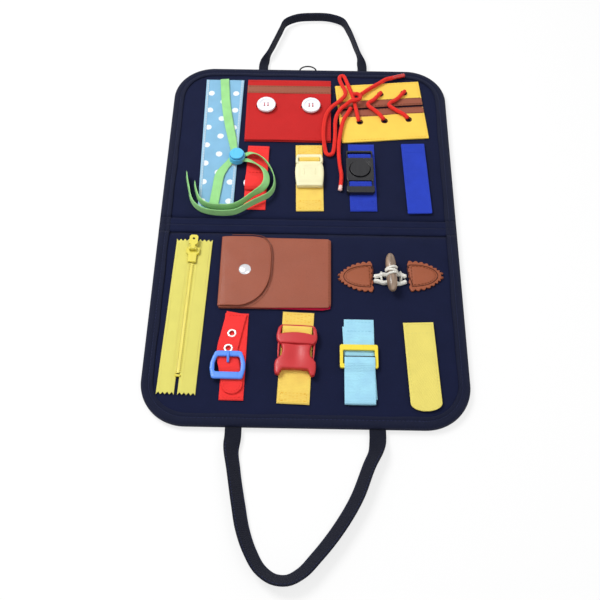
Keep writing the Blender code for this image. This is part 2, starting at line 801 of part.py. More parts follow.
def read_route(rows, spacing):
    """A smooth curve through the rows, read at even steps along its length"""
    rows = np.array(rows, float)
    steps = np.linalg.norm(np.diff(rows[:, :3], axis=0), axis=1)
    along = np.concatenate([[0], np.cumsum(steps)])
    slopes = np.gradient(rows, along, axis=0)
    count = max(2, round(along[-1] / spacing))
    read = []
    for at in np.linspace(0, along[-1], count + 1):
        k = min(np.searchsorted(along, at, side="right") - 1, len(rows) - 2)
        length = along[k + 1] - along[k]
        t = (at - along[k]) / length
        start = (1 + 2 * t) * (1 - t) ** 2 * rows[k] + t * (1 - t) ** 2 * length * slopes[k]
        end = t * t * (3 - 2 * t) * rows[k + 1] + t * t * (t - 1) * length * slopes[k + 1]
        read.append(start + end)
    return np.array(read)


def cord(name, route, diameter, spacing, holder, look):
    """A round cord: a tube along the smooth route"""
    curve = bpy.data.curves.new(name, "CURVE")
    curve.dimensions = "3D"
    curve.bevel_depth = diameter / 2
    curve.bevel_resolution = CORD_ROUND_STEPS
    curve.use_fill_caps = True
    points = read_route(route, spacing)
    spline = curve.splines.new("POLY")
    spline.points.add(len(points) - 1)
    for point, place in zip(spline.points, points):
        point.co = (*place, 1)
    return new_object(name, curve, holder, look)


def ribbon(name, route, width, thick, spacing, holder, look):
    """A flat tape along the smooth route, leaning about its own line"""
    rows = read_route(route, spacing)
    ways = np.gradient(rows[:, :3], axis=0)
    shape = bmesh.new()
    rings = []
    for row, way in zip(rows, ways):
        ahead = Vector(way).normalized()
        across = ahead.cross(Vector((0, 0, 1))).normalized()
        above = across.cross(ahead)
        lean = math.radians(row[3])
        side = (across * math.cos(lean) + above * math.sin(lean)) * width * row[4] / 2
        top = (above * math.cos(lean) - across * math.sin(lean)) * thick / 2
        middle = Vector(row[:3])
        corners = (side + top, top - side, -side - top, side - top)
        rings.append([shape.verts.new(middle + corner) for corner in corners])
    for ring, following in zip(rings, rings[1:]):
        for corner in range(4):
            beside = (corner + 1) % 4
            shape.faces.new((ring[corner], ring[beside], following[beside], following[corner]))
    shape.faces.new(rings[0])
    shape.faces.new(rings[-1])
    bmesh.ops.recalc_face_normals(shape, faces=shape.faces)
    mesh = bpy.data.meshes.new(name)
    shape.to_mesh(mesh)
    shape.free()
    return new_object(name, mesh, holder, look)


def lathe(name, profile, steps, holder, look, place=(0, 0, 0), turn=(0, 0, 0)):
    """A turned shape: the profile at +X runs from top to bottom, ends on the axis"""
    mesh = bpy.data.meshes.new(name)
    mesh.from_pydata([(r, 0, z) for r, z in profile], [(i, i + 1) for i in range(len(profile) - 1)], [])
    obj = new_object(name, mesh, holder, look)
    obj.location = place
    obj.rotation_euler = turn
    screw = obj.modifiers.new("turned", "SCREW")
    screw.steps = steps
    screw.render_steps = steps
    screw.use_merge_vertices = True
    screw.merge_threshold = WELD
    return obj


def panel_outline(inset, near):
    """A panel as seen from above: square at the spine, round at the two outer corners"""
    half = HALF_WIDTH - inset
    far = OUTER_EDGE - inset
    radius = CORNER_RADIUS - inset
    right = arc((half - radius, far - radius), radius, 0, 90, CORNER_STEPS)
    left = arc((radius - half, far - radius), radius, 90, 180, CORNER_STEPS)
    return [(-half, near), (half, near)] + right + left


def make_panel(side, word):
    """Cloth cover, stiffener and binding; the lower panel is the upper one turned half round"""
    holder = word + "_panel"
    turn = None if side == UPPER else Matrix.Rotation(math.pi, 4, "Z")

    def layer(name, inset, near, low, high, look="navy_cloth"):
        return flat_shape(name, [panel_outline(inset, near)], low, high, holder, look, turn)

    cover_inset = BINDING_CLOTH + GAP
    cavity_inset = cover_inset + CLOTH
    beyond = PANEL_NEAR - OVERRUN
    cover = layer(word + "_cover", cover_inset, PANEL_NEAR, COVER_LOW, FACE_TOP)
    cut(cover, layer(word + "_cover_cavity", cavity_inset, beyond, CAVITY_LOW, CAVITY_HIGH))
    stiffener_inset = cavity_inset + GAP
    near = PANEL_NEAR + GAP
    layer(word + "_stiffener", stiffener_inset, near, STIFFENER_LOW, STIFFENER_HIGH, "board")
    binding = layer(word + "_binding", 0, PANEL_NEAR, 0, BOARD_TOP, "navy_binding")
    lip = BOARD_TOP - BINDING_CLOTH
    cut(binding, layer(word + "_binding_fold", BINDING_CLOTH, beyond, BINDING_CLOTH, lip))
    high = BOARD_TOP + OVERRUN
    cut(binding, layer(word + "_binding_window", BINDING_WIDTH, beyond, -OVERRUN, high))


def make_spine():
    half = SPINE_HALF - GAP
    outline = rectangle(-half, half, 0, BOARD_TOP - GAP, SPINE_ROUNDING)
    spine = side_shape("spine_cover", [outline], HALF_WIDTH, "spine", "navy_cloth")
    spine.location = -HOLDERS["spine"].location


def make_handles():
    for name, route, side in (
        ("lower_handle", LOWER_HANDLE_ROUTE, LOWER),
        ("upper_handle", UPPER_HANDLE_ROUTE, UPPER),
    ):
        holder = "lower_panel" if side == LOWER else "upper_panel"
        rows = [(x, side * (HANDLE_START + out), z, lean, share) for x, out, z, lean, share in route]
        handle = ribbon(name, rows, HANDLE_WIDTH, HANDLE_THICK, HANDLE_SPACING, holder, "navy_binding")
        set_pivot(handle, (0, side * (HANDLE_START + HANDLE_AXIS_OUT), HANDLE_HEIGHT))
    start = OUTER_EDGE + GAP
    loop = [(x, start + out, HANDLE_HEIGHT) for x, out in CLOSING_LOOP_ROUTE]
    cord("closing_loop", loop, LOOP_DIAMETER, LOOP_SPACING, "upper_panel", "black_elastic")


def make_drawstring():
    top = PATCH_TOP_WIDTH / 2
    bottom = PATCH_BOTTOM_WIDTH / 2
    half = PATCH_LENGTH / 2
    outline = [(-bottom, -half), (bottom, -half), (top, half), (-top, half)]
    flat_shape("dotted_patch", [outline], 0, PATCH_THICK, "dotted_patch", "dotted_cloth")
    for name, route in (
        ("drawstring_run", DRAWSTRING_RUN_ROUTE),
        ("drawstring_end_a", DRAWSTRING_END_A_ROUTE),
        ("drawstring_end_b", DRAWSTRING_END_B_ROUTE),
    ):
        ribbon(name, route, TAPE_WIDTH, TAPE_THICK, TAPE_SPACING, "upper_panel", "green_tape")


def make_cord_lock():
    high = LOCK_LOW + LOCK_HEIGHT
    tunnel_low = LOCK_LOW + LOCK_FLOOR
    barrel = flat_shape("cord_lock_barrel", [circle(LOCK_RADIUS)], LOCK_LOW, high, "cord_lock", "sky_plastic")
    reach = LOCK_RADIUS + OVERRUN
    half = TUNNEL_WIDTH / 2
    tunnel_high = tunnel_low + TUNNEL_HEIGHT
    cut(barrel, box("lock_tunnel", -reach, reach, -half, half, tunnel_low, tunnel_high,
                    "cord_lock", "sky_plastic"))
    dish = [circle(LOCK_BUTTON_RADIUS + GAP)]
    dish_low = high - LOCK_PRESS - GAP
    cut(barrel, flat_shape("lock_dish", dish, dish_low, high + OVERRUN, "cord_lock", "sky_plastic"))
    bore = [circle(LOCK_STEM_RADIUS + GAP, HOLE_STEPS)]
    middle = (tunnel_low + tunnel_high) / 2
    cut(barrel, flat_shape("lock_bore", bore, middle, dish_low + GAP, "cord_lock", "sky_plastic"))
    low = high + GAP
    top = low + LOCK_BUTTON_THICK
    cap = [circle(LOCK_BUTTON_RADIUS)]
    button = flat_shape("cord_lock_button", cap, low, top, "cord_lock", "sky_plastic")
    soften(button, SOFT_EDGE)
    stem = [circle(LOCK_STEM_RADIUS, HOLE_STEPS)]
    foot = tunnel_high + GAP
    root = low + LOCK_BUTTON_THICK / 2
    fuse(button, flat_shape("lock_stem", stem, foot, root, "cord_lock", "sky_plastic"))


def make_button(name, x):
    """A dished button with four holes on a thread shank, which passes the slit of the flap"""
    low = BUTTON_BACKING_THICK + GAP + BUTTON_FLAP_THICK + BUTTON_STAND
    high = low + BUTTON_THICK
    corners = [(a * BUTTON_HOLE_SPREAD, b * BUTTON_HOLE_SPREAD) for a in (-1, 1) for b in (-1, 1)]
    holes = [circle(BUTTON_HOLE_RADIUS, HOLE_STEPS, corner) for corner in corners]
    button = flat_shape(name, [circle(BUTTON_RADIUS)], low, high, "button_patch", "white_plastic")
    soften(button, SOFT_EDGE)
    hollows = [("_dish", circle(BUTTON_DISH_RADIUS), BUTTON_DISH)]
    hollows += [("_hole_" + str(count), hole, BUTTON_HOLE_DEEP) for count, hole in enumerate(holes)]
    over = high + OVERRUN
    for word, loop, deep in hollows:
        cut(button, flat_shape(name + word, [loop], high - deep, over, "button_patch", "white_plastic"))
    foot = BUTTON_BACKING_THICK + GAP
    shank = [circle(SHANK_RADIUS, HOLE_STEPS)]
    fuse(button, flat_shape(name + "_shank", shank, foot, low + BUTTON_DISH, "button_patch", "white_plastic"))
    for part in [button] + [modifier.object for modifier in button.modifiers if modifier.type == "BOOLEAN"]:
        part.location.x = x
        part.location.y = BUTTON_UP
    set_pivot(button, (x, BUTTON_UP, foot))


def make_button_patch():
    half = BUTTON_PATCH_WIDTH / 2
    far = BUTTON_PATCH_LENGTH / 2
    thick = BUTTON_BACKING_THICK
    box("button_backing", -half, half, -far, far, 0, thick, "button_patch", "red_cloth")
    low = thick + GAP
    high = low + BUTTON_FLAP_THICK
    near = BUTTON_FLAP_LIP - far
    top = near + BUTTON_FLAP_LENGTH
    outline = rectangle(-half, half, near, top)
    flap = flat_shape("button_flap", [outline], low, high, "button_patch", "red_cloth")
    trim = box("button_trim", GAP - half, half - GAP, top - TRIM_WIDTH, top - GAP,
               low + GAP, high + TRIM_RISE, "button_patch", "brown_leather")
    fuse(flap, trim)
    for count, x in enumerate((-BUTTON_SPACING / 2, BUTTON_SPACING / 2)):
        left = x - SLIT_LENGTH / 2
        slit_near = BUTTON_UP - SLIT_WIDTH / 2
        slit = box("button_slit_" + str(count), left, left + SLIT_LENGTH, slit_near, slit_near + SLIT_WIDTH,
                   low - OVERRUN, high + OVERRUN, "button_patch", "red_cloth")
        cut(flap, slit)
    make_button("button_left", -BUTTON_SPACING / 2)
    make_button("button_right", BUTTON_SPACING / 2)


def make_lacing_patch():
    half = LACING_WIDTH / 2
    far = LACING_LENGTH / 2
    gap_low = LACING_GAP_UP - LACING_GAP / 2
    gap_high = LACING_GAP_UP + LACING_GAP / 2
    for name, low, high, side in (
        ("lacing_upper_flap", gap_high, far, 1),
        ("lacing_lower_flap", -far, gap_low, -1),
    ):
        edge = gap_high if side > 0 else gap_low
        hole_y = LACING_GAP_UP + side * LACE_HOLE_REACH
        holes = [circle(LACE_HOLE_RADIUS, HOLE_STEPS, (s * LACING_WIDTH, hole_y)) for s in LACE_HOLE_SHARES]
        loops = [rectangle(-half, half, low, high)] + holes
        flap = flat_shape(name, loops, 0, LACING_THICK, "lacing_patch", "yellow_cloth")
        ends = sorted((edge + side * GAP, edge + side * LACING_TRIM_WIDTH))
        top = LACING_THICK + TRIM_RISE
        trim = box(name + "_trim", GAP - half, half - GAP, *ends, GAP, top, "lacing_patch", "brown_leather")
        fuse(flap, trim)


def make_lace():
    for name, route in (
        ("lace_cross_middle", LACE_CROSS_MIDDLE_ROUTE),
        ("lace_cross_right", LACE_CROSS_RIGHT_ROUTE),
        ("lace_bow", LACE_BOW_ROUTE),
        ("lace_end_left", LACE_END_LEFT_ROUTE),
        ("lace_end_right", LACE_END_RIGHT_ROUTE),
    ):
        cord(name, route, LACE_DIAMETER, LACE_SPACING, "upper_panel", "red_lace")


def make_ring_strap():
    half = RING_STRAP_LENGTH / 2
    ring_y = RING_UP_SHARE * RING_STRAP_LENGTH
    reach = RING_LENGTH / 2 + GAP
    tunnel_high = WEBBING + GAP + RING_THICK + GAP
    top = tunnel_high + WEBBING
    near = ring_y - reach
    far = ring_y + reach
    double = WEBBING + WEBBING
    outline = [(-half, 0), (half, 0), (half, double), (far + RING_SLOPE + RING_SLOPE, double), (far, top)]
    outline += [(near, top), (near - RING_SLOPE, WEBBING), (-half, WEBBING)]
    tunnel = rectangle(near, far, WEBBING, tunnel_high)
    side_shape("ring_strap", [outline, tunnel], RING_STRAP_WIDTH / 2, "ring_strap", "red_webbing")
    out = RING_WIDTH / 2
    deep = RING_LENGTH / 2
    low = WEBBING + GAP
    corner = deep - GAP
    outer = rectangle(-out, out, -deep, deep, corner)
    inner = rectangle(RING_BAR - out, out - RING_BAR, RING_BAR - deep, deep - RING_BAR, corner - RING_BAR)
    ring = flat_shape("strap_ring", [outer, inner], low, low + RING_THICK, "ring_strap", "white_plastic")
    ring.location.y = ring_y


def make_strap(name, width, length, look):
    half = width / 2
    far = length / 2
    box(name, -half, half, -far, far, 0, WEBBING, name, look)


def make_cream_buckle():
    make_strap("cream_strap", WIDE_STRAP_WIDTH, CREAM_STRAP_LENGTH, "yellow_webbing")
    low = SECOND_LAYER
    high = low + CREAM_SOCKET_HEIGHT
    top = CREAM_SOCKET_TOP
    bottom = top - CREAM_SOCKET_LENGTH
    middle = (top + bottom) / 2
    half = CREAM_SOCKET_HALF
    bulge = half + CREAM_SOCKET_BULGE
    right = [(0, bottom), (half, bottom), (bulge - CREAM_SOCKET_BULGE / 2, middle)]
    right += [(bulge, middle + half / 2), (half, top), (0, top)]
    slot = rectangle(-CREAM_PRONG_HALF, CREAM_PRONG_HALF, bottom + GAP + CREAM_SOCKET_BULGE / 2,
                     bottom + GAP + CREAM_SOCKET_BULGE / 2 + CREAM_SLOT_LENGTH)
    socket = flat_shape("cream_buckle", [mirrored(right), slot], low, high, "cream_strap", "cream_plastic")
    prong_half = CREAM_PRONG_HALF
    prong_low = low + (CREAM_SOCKET_HEIGHT - CREAM_PRONG_THICK) / 2
    prong_high = prong_low + CREAM_PRONG_THICK
    prong_end = top + GAP - CREAM_PRONG_LENGTH
    cavity = box("cream_cavity", -prong_half - GAP, prong_half + GAP, prong_end - GAP, top + OVERRUN,
                 prong_low - GAP, prong_high + GAP, "cream_strap", "cream_plastic")
    recess_far = top - CREAM_PRONG_THICK - CREAM_PRONG_THICK
    recess = box("cream_recess", -CREAM_RECESS_HALF, CREAM_RECESS_HALF, recess_far - CREAM_RECESS_LENGTH,
                 recess_far, high - CREAM_RECESS, high + OVERRUN, "cream_strap", "cream_plastic")
    cut(socket, cavity)
    cut(socket, recess)
    near = top + GAP
    far = near + CREAM_CLIP_LENGTH
    window_half = CREAM_CLIP_HALF - CREAM_RAIL
    window_near = near + CREAM_RAIL / 2
    loops = [rectangle(-CREAM_CLIP_HALF, CREAM_CLIP_HALF, near, far),
             rectangle(-window_half, window_half, window_near, far - CREAM_BAR)]
    clip_top = low + CREAM_CLIP_HEIGHT
    clip = flat_shape("cream_clip", loops, low, clip_top, "cream_strap", "cream_plastic")
    prong = box("cream_prong", -prong_half, prong_half, prong_end, window_near - GAP,
                prong_low, prong_high, "cream_strap", "cream_plastic")
    fuse(clip, prong)


def make_black_buckle():
    make_strap("blue_strap", BLUE_STRAP_WIDTH, BLUE_STRAP_LENGTH, "blue_webbing")
    low = SECOND_LAYER
    high = low + BLACK_HEIGHT
    half = BLACK_WIDTH / 2
    far = BLACK_LENGTH / 2
    outline = rectangle(-half, half, -far, far, BLACK_CORNER)
    top_far = far - BLACK_TOP_BAR
    low_near = BLACK_LOW_BAR - far
    windows = [
        rectangle(-BLACK_WINDOW_HALF, BLACK_WINDOW_HALF, top_far - BLACK_TOP_WINDOW, top_far),
        rectangle(-BLACK_WINDOW_HALF, BLACK_WINDOW_HALF, low_near, low_near + BLACK_LOW_WINDOW),
    ]
    buckle = flat_shape("black_buckle", [outline] + windows, low, high, "blue_strap", "black_plastic")
    middle = (0, BLACK_BUTTON_UP)
    button_high = high + BLACK_BUTTON_PROUD
    button_low = button_high - BLACK_BUTTON_THICK
    bore = flat_shape("black_bore", [circle(BLACK_BUTTON_RADIUS + GAP, CIRCLE_STEPS, middle)],
                      button_low - BLACK_PRESS - GAP, high + OVERRUN, "blue_strap", "black_plastic")
    rings = [circle(BLACK_GROOVE_OUT, CIRCLE_STEPS, middle), circle(BLACK_GROOVE_IN, CIRCLE_STEPS, middle)]
    groove_low = high - BLACK_GROOVE
    groove = flat_shape("black_groove", rings, groove_low, high + OVERRUN, "blue_strap", "black_plastic")
    cut(buckle, bore)
    cut(buckle, groove)
    button = flat_shape("black_button", [circle(BLACK_BUTTON_RADIUS, CIRCLE_STEPS, middle)],
                        button_low, button_high, "blue_strap", "black_plastic")
    soften(button, SOFT_EDGE)
    for part in (buckle, bore, groove, button):
        part.location.x = -BLACK_SIDE_SHIFT
        part.location.y = BLACK_UP_SHIFT


def make_tab(name, width, length, tip_rise, look):
    """A hook tab and the loop flap that lies on it and peels up from its sewn top end"""
    half = width / 2
    far = length / 2

    def tab_outline(inset):
        side = half - inset
        near = inset - far
        if tip_rise:
            tip = arc((0, near + tip_rise), side, 180, 360, CORNER_STEPS)
            tip = [(x, near + tip_rise + (y - near - tip_rise) * tip_rise / side) for x, y in tip]
        else:
            tip = [(-side, near), (side, near)]
        return tip + [(side, far - inset), (-side, far - inset)]

    base = [tab_outline(TAB_BASE_INSET)]
    flat_shape(name + "_base", base, 0, TAB_BASE_THICK, name, look)
    low = TAB_BASE_THICK + GAP
    flap = flat_shape(name + "_flap", [tab_outline(0)], low, low + TAB_FLAP_THICK, name, look)
    set_pivot(flap, (0, far, low))


def zip_tape_outline(side):
    """One tape: straight sides and pinked ends"""
    inner = ZIP_SLIT_HALF
    outer = ZIP_WIDTH / 2
    far = ZIP_LENGTH / 2
    step = (outer - inner) / ZIP_PINK_TEETH
    top = [(inner, far)]
    for tooth in range(ZIP_PINK_TEETH):
        left = inner + tooth * step
        top += [(left + step / 2, far - ZIP_PINK_DEPTH), (left + step, far)]
    bottom = [(x, -y) for x, y in reversed(top)]
    return [(side * x, y) for x, y in top + bottom]


def zip_teeth_outline(side):
    """The toothed strip of one tape; the other tape's teeth stand in its gaps"""
    top = ZIP_LENGTH / 2 - CHAIN_TOP_SPARE
    bottom = CHAIN_BOTTOM_SPARE - ZIP_LENGTH / 2
    count = int((top - bottom) / TOOTH_PITCH)
    first = top if side > 0 else top - TOOTH - GAP
    points = [(TOOTH_STRIP, top), (TOOTH_ROOT, top)] if side < 0 else [(TOOTH_STRIP, top)]
    for tooth in range(count):
        high = first - tooth * TOOTH_PITCH
        low = high - TOOTH
        if side < 0 or tooth:
            points.append((TOOTH_ROOT, high))
        points += [(-TOOTH_REACH, high), (-TOOTH_REACH, low), (TOOTH_ROOT, low)]
    end = first - count * TOOTH_PITCH
    points += [(TOOTH_ROOT, end), (TOOTH_STRIP, end)]
    return [(side * x, y) for x, y in points]


def make_zip():
    for name, side in (("zipper_tape_left", -1), ("zipper_tape_right", 1)):
        tape = flat_shape(name, [zip_tape_outline(side)], 0, ZIP_TAPE_THICK, "zipper", "zip_yellow")
        row = [zip_teeth_outline(side)]
        teeth = flat_shape(name + "_teeth", row, 0, TOOTH_HEIGHT, "zipper", "zip_yellow")
        fuse(tape, teeth)
    low = ZIP_TAPE_THICK + GAP
    roof = TOOTH_HEIGHT + GAP
    high = roof + SLIDER_PLATE
    half = SLIDER_WIDTH / 2
    far = ZIP_LENGTH / 2 - SLIDER_TOP_SPARE
    near = far - SLIDER_LENGTH
    nose = half * SLIDER_NOSE_SHARE
    waist = (near + far) / 2
    right = [(0, near), (nose, near), (nose, waist), (half, waist + PIN_BACK), (half, far), (0, far)]
    slider = flat_shape("zipper_slider", [mirrored(right)], low, high, "zipper", "zip_yellow")
    channel = TOOTH_STRIP + GAP
    cut(slider, box("slider_channel", -channel, channel, near - OVERRUN, far + OVERRUN, low - OVERRUN, roof,
                    "zipper", "zip_yellow"))
    pin_y = far - PIN_BACK
    pin_z = high + PIN_RISE
    ear_half = EAR_LENGTH / 2
    root = high - SLIDER_PLATE / 2
    for count, side in enumerate((-1, 1)):
        ends = sorted((side * EAR_GAP_HALF, side * (EAR_GAP_HALF + EAR_THICK)))
        ear = box("slider_ear_" + str(count), *ends, pin_y - ear_half, pin_y + ear_half, root,
                  pin_z + PIN_RADIUS + GAP, "zipper", "zip_yellow")
        fuse(slider, ear)
    pin_outline = [circle(PIN_RADIUS, HOLE_STEPS, (pin_y, pin_z))]
    fuse(slider, side_shape("slider_pin", pin_outline, EAR_GAP_HALF + EAR_THICK / 2, "zipper", "zip_yellow"))
    eye = circle(EYE_RADIUS, HOLE_STEPS, (pin_y, pin_z))
    hole = circle(PIN_RADIUS + GAP, HOLE_STEPS, (pin_y, pin_z))
    pull = side_shape("zipper_pull", [eye, hole], EAR_GAP_HALF - GAP, "zipper", "zip_yellow")
    neck_start = pin_y + PIN_RADIUS + GAP + GAP
    neck = pin_y + PULL_NECK_LENGTH
    tip = pin_y + PULL_LENGTH
    wide = PULL_WIDTH / 2
    right = [(0, neck_start), (PULL_NECK_HALF, neck_start), (PULL_NECK_HALF, neck), (wide, neck + PULL_THICK)]
    right += [(wide, tip - PULL_THICK), (wide - PULL_THICK, tip), (0, tip)]
    hole_y = tip - PULL_WIDTH / 2
    loops = [mirrored(right), circle(PULL_HOLE_RADIUS, HOLE_STEPS, (0, hole_y))]
    low = pin_z - PULL_THICK / 2
    fuse(pull, flat_shape("pull_plate", loops, low, low + PULL_THICK, "zipper", "zip_yellow"))
    set_pivot(pull, (0, pin_y, pin_z))


def make_wallet():
    """A folded leather body, open but for its left edge, a lining inside and a flap with a snap"""
    half = WALLET_WIDTH / 2
    far = WALLET_LENGTH / 2
    room = GAP + LINING + GAP
    high = LEATHER + room + LEATHER
    body = box("wallet_body", -half, half, -far, far, 0, high, "wallet", "brown_leather")
    pocket = box("wallet_pocket", LEATHER - half, half + OVERRUN, -far - OVERRUN, far + OVERRUN,
                 LEATHER, LEATHER + room, "wallet", "brown_leather")
    cut(body, pocket)
    low = LEATHER + GAP
    box("wallet_lining", LEATHER + GAP - half, half - LINING_SIDE_INSET, -far - LINING_PROUD,
        far - LINING_PROUD, low, low + LINING, "wallet", "crimson_cloth")
    flap_low = high + GAP
    left = -half - LINING_SIDE_INSET
    outline = [(left, -far + LINING_PROUD), (left, far)]
    for across_share, along_share in FLAP_SHOULDER_SHARES:
        outline.append((left + across_share * FLAP_LENGTH, (2 * along_share - 1) * far))
    flap = flat_shape("wallet_flap", [outline], flap_low, flap_low + FLAP_LEATHER, "wallet", "brown_leather")
    set_pivot(flap, (left, 0, flap_low))
    seat = flap_low + FLAP_LEATHER + GAP
    profile = [(across * SNAP_RADIUS, up * SNAP_HEIGHT) for across, up in SNAP_PROFILE_SHARES]
    across = left + SNAP_SHARE * FLAP_LENGTH
    along = (2 * SNAP_ALONG_SHARE - 1) * WALLET_LENGTH / 2 + LINING_PROUD
    place = (across, along, seat)
    lathe("snap_cap", profile, CIRCLE_STEPS, "wallet", "snap_metal", place)


def pad_outline(side):
    """A leaf with a flat inner side and a pinked edge round to its tip"""
    half = PAD_WIDTH / 2
    blunt = PAD_BLUNT_SHARE * PAD_WIDTH
    edge = []
    for step in range(2 * PAD_SERRATIONS + 1):
        share = step / (2 * PAD_SERRATIONS)
        x = share * PAD_LENGTH
        y = half - (half - blunt) * share ** PAD_CURVE
        notch = PAD_NOTCH if step % 2 else 0
        edge.append((x - notch * share, y - notch))
    points = edge + [(x, -y) for x, y in reversed(edge)]
    return [(side * (PAD_SPREAD + x), y) for x, y in points]


def make_toggle():
    for name, side in (("toggle_pad_left", -1), ("toggle_pad_right", 1)):
        flat_shape(name, [pad_outline(side)], 0, PAD_THICK, "toggle", "tan_leather")
    for name, route in (
        ("toggle_cord_left", TOGGLE_CORD_LEFT_ROUTE),
        ("toggle_cord_right", TOGGLE_CORD_RIGHT_ROUTE),
    ):
        cord(name, route, TOGGLE_CORD, TOGGLE_CORD_SPACING, "lower_panel", "natural_cord")
    half = TOGGLE_LENGTH / 2
    upper = [(share * TOGGLE_RADIUS, along * half) for along, share in TOGGLE_RADIUS_SHARES]
    profile = [(0, half)] + upper[::-1] + [(r, -z) for r, z in upper[1:]] + [(0, -half)]
    rise = TOGGLE_CORD + GAP + TOGGLE_RADIUS
    turn = (math.pi / 2, 0, 0)
    lathe("toggle_button", profile, CIRCLE_STEPS, "toggle", "horn", (0, 0, rise), turn)


def band_outline(points, half):
    """A band of even width along a bent line, with a round far end"""
    places = [Vector((x, y)) for x, y in points]
    lefts = []
    rights = []
    for count, place in enumerate(places):
        before = places[max(count - 1, 0)]
        after = places[min(count + 1, len(places) - 1)]
        way = (after - before).normalized()
        beside = Vector((-way.y, way.x)) * half
        lefts.append(tuple(place + beside))
        rights.append(tuple(place - beside))
    way = (places[-1] - places[-2]).normalized()
    start = math.degrees(math.atan2(way.x, -way.y))
    tip = arc(places[-1], half, start, start - 180, CORNER_STEPS)
    return lefts[:-1] + tip + rights[-2::-1]


def make_belt():
    half = BELT_WIDTH / 2
    far = BELT_LENGTH / 2
    box("belt_strap", -half, half, -far, far, 0, WEBBING, "belt", "red_webbing")
    top = far - GAP
    knee = top - TONGUE_KNEE_SHARE * TONGUE_LENGTH
    end = top - TONGUE_LENGTH + TONGUE_WIDTH / 2
    route = [(0, top), (-TONGUE_LEAN, knee), (0, end)]
    lean_share = TONGUE_LEAN / (top - knee)
    holes = []
    for count in range(3):
        down = EYELET_FIRST + count * EYELET_PITCH
        x = -lean_share * down if top - down > knee else -TONGUE_LEAN
        holes.append(circle(EYELET_RADIUS, HOLE_STEPS, (x, top - down)))
    low = SECOND_LAYER
    loops = [band_outline(route, TONGUE_WIDTH / 2)] + holes
    flat_shape("belt_tongue", loops, low, low + WEBBING, "belt", "red_webbing")
    frame_low = THIRD_LAYER
    frame_high = frame_low + BELT_FRAME_THICK
    middle = -BELT_FRAME_DOWN
    near = middle - BELT_FRAME_LENGTH / 2
    high = middle + BELT_FRAME_LENGTH / 2
    outer = [(0, near), (BELT_FRAME_BOTTOM_HALF, near), (BELT_FRAME_MIDDLE_HALF, middle),
             (BELT_FRAME_TOP_HALF, high), (0, high)]
    rail = BELT_FRAME_RAIL
    window_low = near + BELT_FRAME_BOTTOM_BAR
    window_high = high - BELT_FRAME_TOP_BAR
    inner = [(0, window_low), (BELT_FRAME_BOTTOM_HALF - rail / 2, window_low),
             (BELT_FRAME_MIDDLE_HALF - rail, middle), (BELT_FRAME_TOP_HALF - rail / 2, window_high),
             (0, window_high)]
    loops = [mirrored(outer), mirrored(inner)]
    frame = flat_shape("belt_buckle", loops, frame_low, frame_high, "belt", "blue_plastic")
    hole_x, hole_y = -TONGUE_LEAN, top - EYELET_FIRST - EYELET_PITCH - EYELET_PITCH
    ridge_top = frame_high + BELT_PIN_RISE
    thin = BELT_PIN_HALF
    ridge = box("belt_pin", hole_x - thin + BELT_FRAME_SIDE, hole_x + thin + BELT_FRAME_SIDE, hole_y - thin,
                high - thin, frame_high - BELT_PIN_RISE, ridge_top, "belt", "blue_plastic")
    stem = flat_shape("belt_stem", [circle(thin - GAP, HOLE_STEPS, (hole_x + BELT_FRAME_SIDE, hole_y))],
                      low + GAP, frame_high, "belt", "blue_plastic")
    fuse(frame, ridge)
    fuse(frame, stem)
    for part in (frame, ridge, stem):
        part.location.x = -BELT_FRAME_SIDE
    set_pivot(frame, (-BELT_FRAME_SIDE, near, frame_low))


